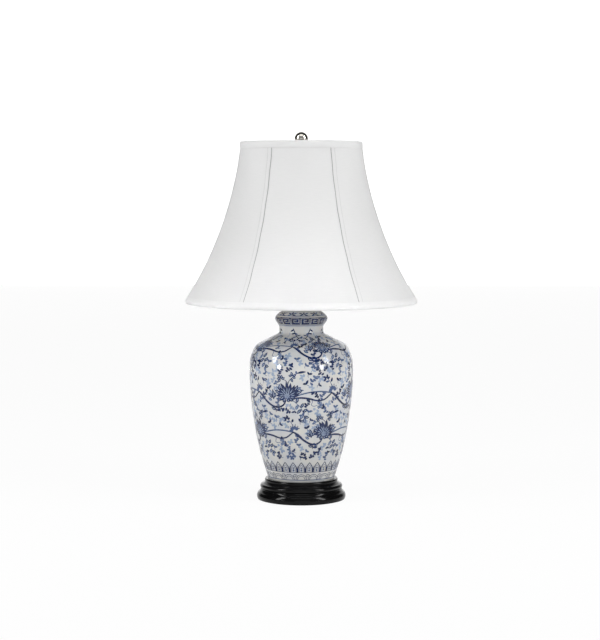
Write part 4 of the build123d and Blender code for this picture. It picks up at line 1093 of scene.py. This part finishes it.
BALL_MIDDLE = 672.9
BALL_R = 12.7
FINIAL_SEAT = 650.0
BALL_FOOT_R = 6.4
BALL_FOOT = BALL_MIDDLE - math.sqrt(BALL_R ** 2 - BALL_FOOT_R ** 2)
BORE_R = 3.4
BORE_TOP = FINIAL_SEAT + 13.6
ball_outline = [(BORE_R, BALL_FOOT), (BALL_FOOT_R, BALL_FOOT)]
ball_outline += arc_run((BALL_FOOT_R, BALL_FOOT), (BALL_R, BALL_MIDDLE), (0.0, BALL_MIDDLE + BALL_R), 40)
ball_outline += [(0.0, BORE_TOP), (BORE_R, BORE_TOP), (BORE_R, BALL_FOOT)]
finish_piece(
    turned(ball_outline, 96), "finial_polished_ball", polished_nickel, "finial",
    ["finial_ball"],
)

FLANGE_TOP = FINIAL_SEAT + 2.4
COLLAR_BOTTOM = BALL_FOOT - 2.4
neck_outline = [(BORE_R, FINIAL_SEAT), (7.2, FINIAL_SEAT)]
neck_outline += arc_run((7.2, FINIAL_SEAT), (7.6, FINIAL_SEAT + 1.2), (7.2, FLANGE_TOP), 6)
waist = (FLANGE_TOP + COLLAR_BOTTOM) / 2 + 0.4
neck_outline += arc_run((7.2, FLANGE_TOP), (4.9, waist), (5.8, COLLAR_BOTTOM), 10)
neck_outline += [
    (BALL_FOOT_R, COLLAR_BOTTOM + 0.4), (BALL_FOOT_R, BALL_FOOT), (BORE_R, BALL_FOOT), (BORE_R, FINIAL_SEAT),
]
finish_piece(
    turned(neck_outline, 96), "finial_turned_neck", polished_nickel, "finial",
    ["finial_neck"],
)

# ---------------------------------------------------------------- shade cloth

SHADE_TOP = 667.9
SHADE_BOTTOM = 368.1
TOP_R = 113.3
BOTTOM_R = 215.0
BELL_HEAD = SHADE_TOP - 17.8
BELL_FOOT = SHADE_BOTTOM + 6.0
BELL_SAG = 15.5
SIDES = 6
SMOOTH_CLOTH = 60
FLATTEN = 0.055
CLOTH = 0.8
LINING = 0.5
TAPE = 0.4
# PAINTED_LINE_WALL is the wall of the grey strips that paint shade beside the seam tapes.
PAINTED_LINE_WALL = 0.35
HALF_SIDE = math.pi / SIDES

head = Vector((TOP_R, BELL_HEAD))
foot = Vector((BOTTOM_R, BELL_FOOT))
chord = head - foot
ARC_R = chord.length ** 2 / (8 * BELL_SAG) + BELL_SAG / 2
outward = Vector((chord.y, -chord.x)).normalized()
ARC_CENTRE = (head + foot) / 2 + outward * (ARC_R - BELL_SAG)


def bell_radius(height):
    """Outer radius of the cloth over a rib."""
    if height >= BELL_HEAD:
        return TOP_R
    if height <= BELL_FOOT:
        return BOTTOM_R
    return ARC_CENTRE.x - math.sqrt(ARC_R ** 2 - (height - ARC_CENTRE.y) ** 2)


def panel_arc(height):
    """Arc radius, arc centre distance and half arc angle of a panel's section."""
    share = min(max((height - BELL_FOOT) / (BELL_HEAD - BELL_FOOT), 0), 1)
    rib = bell_radius(height)
    middle_radius = rib * (1 - FLATTEN * math.sin(math.pi * share))
    rise = middle_radius - rib * math.cos(HALF_SIDE)
    half_chord = rib * math.sin(HALF_SIDE)
    radius = (half_chord ** 2 + rise ** 2) / (2 * rise)
    return radius, middle_radius - radius, math.asin(half_chord / radius)


def panel_point(height, panel_angle, turn, outset):
    """A point on a panel at an angle about its arc centre, pushed outward by outset."""
    radius, centre, _ = panel_arc(height)
    swing = panel_angle + turn
    reach = radius + outset
    return Vector((
        centre * math.cos(panel_angle) + reach * math.cos(swing),
        centre * math.sin(panel_angle) + reach * math.sin(swing),
        height,
    ))


def cloth_grid(name, across, along):
    """A flat grid with its UV, ready to be shaped as cloth."""
    deselect()
    bpy.ops.mesh.primitive_grid_add(
        x_subdivisions=across, y_subdivisions=along, size=2, location=(0, 0, 0)
    )
    piece = bpy.context.object
    piece.name = name
    return piece


def face_outward(piece, close=False):
    """Normals away from the lamp's axis on an open cloth; one that runs all round is closed first."""
    form = bmesh.new()
    form.from_mesh(piece.data)
    if close:
        bmesh.ops.remove_doubles(form, verts=form.verts, dist=0.00001)
    bmesh.ops.recalc_face_normals(form, faces=form.faces)
    middles = [(face.normal, face.calc_center_median()) for face in form.faces]
    if sum(normal.dot(Vector((at.x, at.y, 0))) for normal, at in middles) < 0:
        bmesh.ops.reverse_faces(form, faces=form.faces)
    form.to_mesh(piece.data)
    form.free()


def shape_cloth(piece, place, size, close=False):
    """Each grid point (u, v from 0 to 1) goes to its place; the UV is in millimetres."""
    mesh = piece.data
    flat = [((v.co.x + 1) / 2, (v.co.y + 1) / 2) for v in mesh.vertices]
    layer = mesh.uv_layers.active or mesh.uv_layers.new(name="UVMap")
    for loop in mesh.loops:
        u, v = flat[loop.vertex_index]
        layer.data[loop.index].uv = (u * size[0], v * size[1])
    for vertex, (u, v) in zip(mesh.vertices, flat):
        vertex.co = place(u, v) * MM
    mesh.update()
    face_outward(piece, close)


def thicken(piece, thickness):
    """A wall on the cloth, applied."""
    deselect()
    piece.select_set(True)
    bpy.context.view_layer.objects.active = piece
    modifier = piece.modifiers.new("wall", "SOLIDIFY")
    modifier.thickness = thickness * MM
    modifier.offset = -1.0
    bpy.ops.object.modifier_apply(modifier=modifier.name)


def make_cloth(piece, name, thickness, material, nodes=()):
    """The shaped cloth gets its wall and its finish; the result is its area in square metres."""
    area = sum(polygon.area for polygon in piece.data.polygons)
    thicken(piece, thickness)
    finish_piece(piece, name, material, "shade", nodes, SMOOTH_CLOTH)
    return area


PANEL_TOP = 665.7
PANEL_BOTTOM = 370.4
PANEL_GAP = 0.12
PULL_DEPTH = 0.10
PULL_REACH = 0.07
for number in range(1, SIDES + 1):
    panel_angle = math.radians(30 + 60 * (number - 1))
    panel = cloth_grid(f"shade_cloth_{number}", 36, 60)
    ripple_seed = random.Random(number)
    ripples = [(ripple_seed.uniform(0.10, 0.9), ripple_seed.uniform(0.03, 0.05)) for _ in range(4)]

    def panel_place(u, v):
        """The panel's curve, with slight pull marks toward both rings."""
        height = PANEL_BOTTOM + (PANEL_TOP - PANEL_BOTTOM) * v
        radius, _, half_arc = panel_arc(height)
        near_ring = math.exp(-v / PULL_REACH) + math.exp(-(1 - v) / PULL_REACH)
        pull = 0.0
        for middle_u, width in ripples:
            pull += PULL_DEPTH * math.exp(-((u - middle_u) / width) ** 2) * near_ring
        return panel_point(height, panel_angle, (u * 2 - 1) * (half_arc - PANEL_GAP / radius), -pull)

    shape_cloth(panel, panel_place, (215.0, 305.0))
    area = make_cloth(
        panel, f"shade_cloth_{number}", CLOTH, cloth_white, [f"shade_panel_{number}"]
    )

LINING_TOP_R = 108.9
LINING_BOTTOM_R = 210.6
lining_middle = (BELL_HEAD + BELL_FOOT) / 2
lining_arc = [(LINING_BOTTOM_R, BELL_FOOT + 0.2)] + arc_run(
    (LINING_BOTTOM_R, BELL_FOOT + 0.2),
    (bell_radius(lining_middle) * (1 - FLATTEN) - CLOTH - 3.5, lining_middle),
    (LINING_TOP_R, BELL_HEAD), 60,
) + [(LINING_TOP_R, PANEL_TOP)]


def lining_place(u, v):
    step = v * (len(lining_arc) - 1)
    low = min(int(step), len(lining_arc) - 2)
    (r1, z1), (r2, z2) = lining_arc[low:low + 2]
    radius = r1 + (r2 - r1) * (step - low)
    height = z1 + (z2 - z1) * (step - low)
    turn = u * math.tau
    return Vector((math.cos(turn) * radius, math.sin(turn) * radius, height))


lining = cloth_grid("shade_lining_cloth", 144, 62)
shape_cloth(lining, lining_place, (1300.0, 320.0), close=True)
lining_area = make_cloth(lining, "shade_lining_cloth", LINING, cloth_lining, ["shade_lining"])

SEAM_WIDTH = 8.5
SEAM_BOTTOM = SHADE_BOTTOM + 13.5
SEAM_TOP = SHADE_TOP - 13.5
SEAM_LENGTH = 292.0
# Beside each tape lie two strips of grey cloth that paint shade: a dark painted shadow on one edge and a
# fainter painted shade on the other.
SHADOW_LINE_SIDE = 3.9
SHADOW_LINE_WIDTH = 0.9
FOLD_SHADING_WIDTH = 0.55


def seam_point(seam_angle, height, offset, outset):
    """A point beside a seam: offset runs along the cloth, to the left panel when positive."""
    radius, _, half_arc = panel_arc(height)
    if offset >= 0:
        return panel_point(height, seam_angle + HALF_SIDE, offset / radius - half_arc, outset)
    return panel_point(height, seam_angle - HALF_SIDE, half_arc + offset / radius, outset)


def along_seam(v):
    """Height at a share v of the seam's rise."""
    return SEAM_BOTTOM + (SEAM_TOP - SEAM_BOTTOM) * v


def joined(pieces):
    """Several pieces made one."""
    deselect()
    for piece in pieces:
        piece.select_set(True)
    bpy.context.view_layer.objects.active = pieces[0]
    bpy.ops.object.join()
    return bpy.context.object


tapes = []
shadow_line_pieces = []
fold_shading_pieces = []
for count in range(SIDES):
    seam_angle = math.radians(60 * count)
    tape = cloth_grid("seam_tape", 16, 70)

    def tape_place(u, v):
        """A strip with its two folded edges and one stitched line raised."""
        offset = (u - 0.5) * SEAM_WIDTH
        fold = 0.30 * math.exp(-((abs(offset) - 3.7) / 0.42) ** 2)
        fold += 0.16 * math.exp(-((offset - 0.9) / 0.4) ** 2)
        return seam_point(seam_angle, along_seam(v), offset, 0.45 + fold)

    shape_cloth(tape, tape_place, (SEAM_WIDTH, SEAM_LENGTH))
    tapes.append(tape)
    side = -1 if count % 2 else 1
    # The dark painted shadow takes alternate edges from seam to seam; the faint painted shade takes the other
    # edge.
    for edge, width, gather in (
        (side * SHADOW_LINE_SIDE, SHADOW_LINE_WIDTH, shadow_line_pieces), (-side * SHADOW_LINE_SIDE, FOLD_SHADING_WIDTH, fold_shading_pieces),
    ):
        shade_line_piece = cloth_grid("painted_seam_shadow", 3, 90)

        def shade_line_place(u, v):
            wander = edge + 0.25 * math.sin(v * 31 + count)
            return seam_point(seam_angle, along_seam(v), wander + (u - 0.5) * width, 0.78)

        shape_cloth(shade_line_piece, shade_line_place, (width, SEAM_LENGTH))
        gather.append(shade_line_piece)

tape = joined(tapes)
tape_area = make_cloth(tape, "seam_tapes", TAPE, cloth_white, ["seam_strips"])
# The strips that paint shade become two pieces.
make_cloth(joined(shadow_line_pieces), "seam_shadow_lines", PAINTED_LINE_WALL, seam_shadow_cloth)
make_cloth(joined(fold_shading_pieces), "seam_fold_shadings", PAINTED_LINE_WALL, fold_shading_cloth)


def band(name, path, node):
    """A folded cloth band round a ring, along a path of (radius, height)."""
    lengths = [0.0]
    for (r1, z1), (r2, z2) in zip(path, path[1:]):
        lengths.append(lengths[-1] + math.hypot(r2 - r1, z2 - z1))
    rows = len(path) - 1
    piece = cloth_grid(name, 180, rows)

    def band_place(u, v):
        index = min(int(round(v * rows)), rows)
        radius, height = path[index]
        turn = u * math.tau
        ease = 0.06 * math.sin(turn * 37) * math.sin(turn * 11 + 1) if 0 < index < rows else 0.0
        return Vector((math.cos(turn) * (radius + ease), math.sin(turn) * (radius + ease), height))

    round_length = path[0][0] * math.tau
    shape_cloth(piece, band_place, (round_length, lengths[-1]), close=True)
    area = make_cloth(piece, name, TAPE, cloth_trim, [node])


TOP_OUT = TOP_R + 0.72
TOP_IN = TOP_R - 5.35
TRIM_LOW = SHADE_TOP - 13.0
top_outer_edge = (TOP_OUT, SHADE_TOP - 3.2)
top_crown = (TOP_OUT - 2.9, SHADE_TOP)
band(
    "top_trim_band",
    [
        (TOP_OUT - 0.3, TRIM_LOW), (TOP_OUT - 0.05, TRIM_LOW + 0.5), (TOP_OUT, TRIM_LOW + 1.4),
        (TOP_OUT + 0.1, TRIM_LOW + 5.0), top_outer_edge,
    ]
    + arc_run(top_outer_edge, (TOP_OUT - 0.86, SHADE_TOP - 0.9), top_crown, 8)
    + arc_run(top_crown, (TOP_IN + 0.75, SHADE_TOP - 0.75), (TOP_IN, SHADE_TOP - 2.6), 8)
    + [(TOP_IN, TRIM_LOW + 6.0), (TOP_IN, TRIM_LOW)],
    "top_trim",
)
HEM_OUT = BOTTOM_R + 0.6
HEM_IN = BOTTOM_R - 4.7
HEM_TOP = SHADE_BOTTOM + 13.0
hem_outer_edge = (HEM_OUT, SHADE_BOTTOM + 3.0)
hem_sole = (HEM_OUT - 2.65, SHADE_BOTTOM)
band(
    "bottom_trim_band",
    [
        (bell_radius(HEM_TOP - drop) + stand, HEM_TOP - drop)
        for drop, stand in ((0, 0.7), (0.5, 0.85), (1.2, 0.7), (3.5, 0.75))
    ]
    + [(HEM_OUT - 0.02, BELL_FOOT - 0.4), hem_outer_edge]
    + arc_run(hem_outer_edge, (HEM_OUT - 0.75, SHADE_BOTTOM + 0.8), hem_sole, 8)
    + arc_run(hem_sole, (HEM_IN + 0.75, SHADE_BOTTOM + 0.75), (HEM_IN, SHADE_BOTTOM + 2.6), 8)
    + [(HEM_IN, BELL_FOOT)],
    "bottom_trim",
)

# ---------------------------------------------------------------- floor and backdrop

# The floor shows its pale colour to camera, glossy and transmission rays, and keeps a small
# share of its lit surface there, which holds the lamp's shadow.
FLOOR_GLOW = 0.95
FLOOR_SIZE = 14.4
BACKDROP_SIZE = 4.2
BACKDROP_AWAY = 7.2
pale, pale_nodes, pale_links = new_material("pale_floor")
pale_shader = set_shader(
    pale_nodes, Base_Color=rgb(0.93, 0.93, 0.93), Roughness=0.9, Specular_IOR_Level=0.1
)
glow = add_node(pale_nodes, "ShaderNodeEmission", Color=rgb(1, 1, 1), Strength=1.0)
rays = pale_nodes.new("ShaderNodeLightPath")
pale_tree = pale.node_tree
seen = math_node(pale_tree, "MAXIMUM", rays.outputs["Is Camera Ray"], rays.outputs["Is Glossy Ray"])
seen = math_node(pale_tree, "MAXIMUM", seen, rays.outputs["Is Transmission Ray"])
blend_floor = pale_nodes.new("ShaderNodeMixShader")
pale_links.new(math_node(pale_tree, "MULTIPLY", seen, FLOOR_GLOW), blend_floor.inputs["Fac"])
pale_links.new(pale_shader.outputs["BSDF"], blend_floor.inputs[1])
pale_links.new(glow.outputs["Emission"], blend_floor.inputs[2])
pale_links.new(blend_floor.outputs["Shader"], pale_nodes["Material Output"].inputs["Surface"])
white_card, card_nodes, _ = new_material("white_backdrop")
set_shader(
    card_nodes, Base_Color=rgb(1, 1, 1), Roughness=1.0, Emission_Color=rgb(1, 1, 1), Emission_Strength=1.0
)

deselect()
bpy.ops.mesh.primitive_plane_add(size=FLOOR_SIZE, location=(0, 0, 0))
floor = bpy.context.object
floor.name = "floor"
floor.data.materials.append(pale)
deselect()
bpy.ops.mesh.primitive_plane_add(
    size=BACKDROP_SIZE, location=(0, BACKDROP_AWAY, BACKDROP_SIZE / 2), rotation=(math.radians(90), 0, 0)
)
backdrop = bpy.context.object
backdrop.name = "backdrop"
backdrop.data.materials.append(white_card)
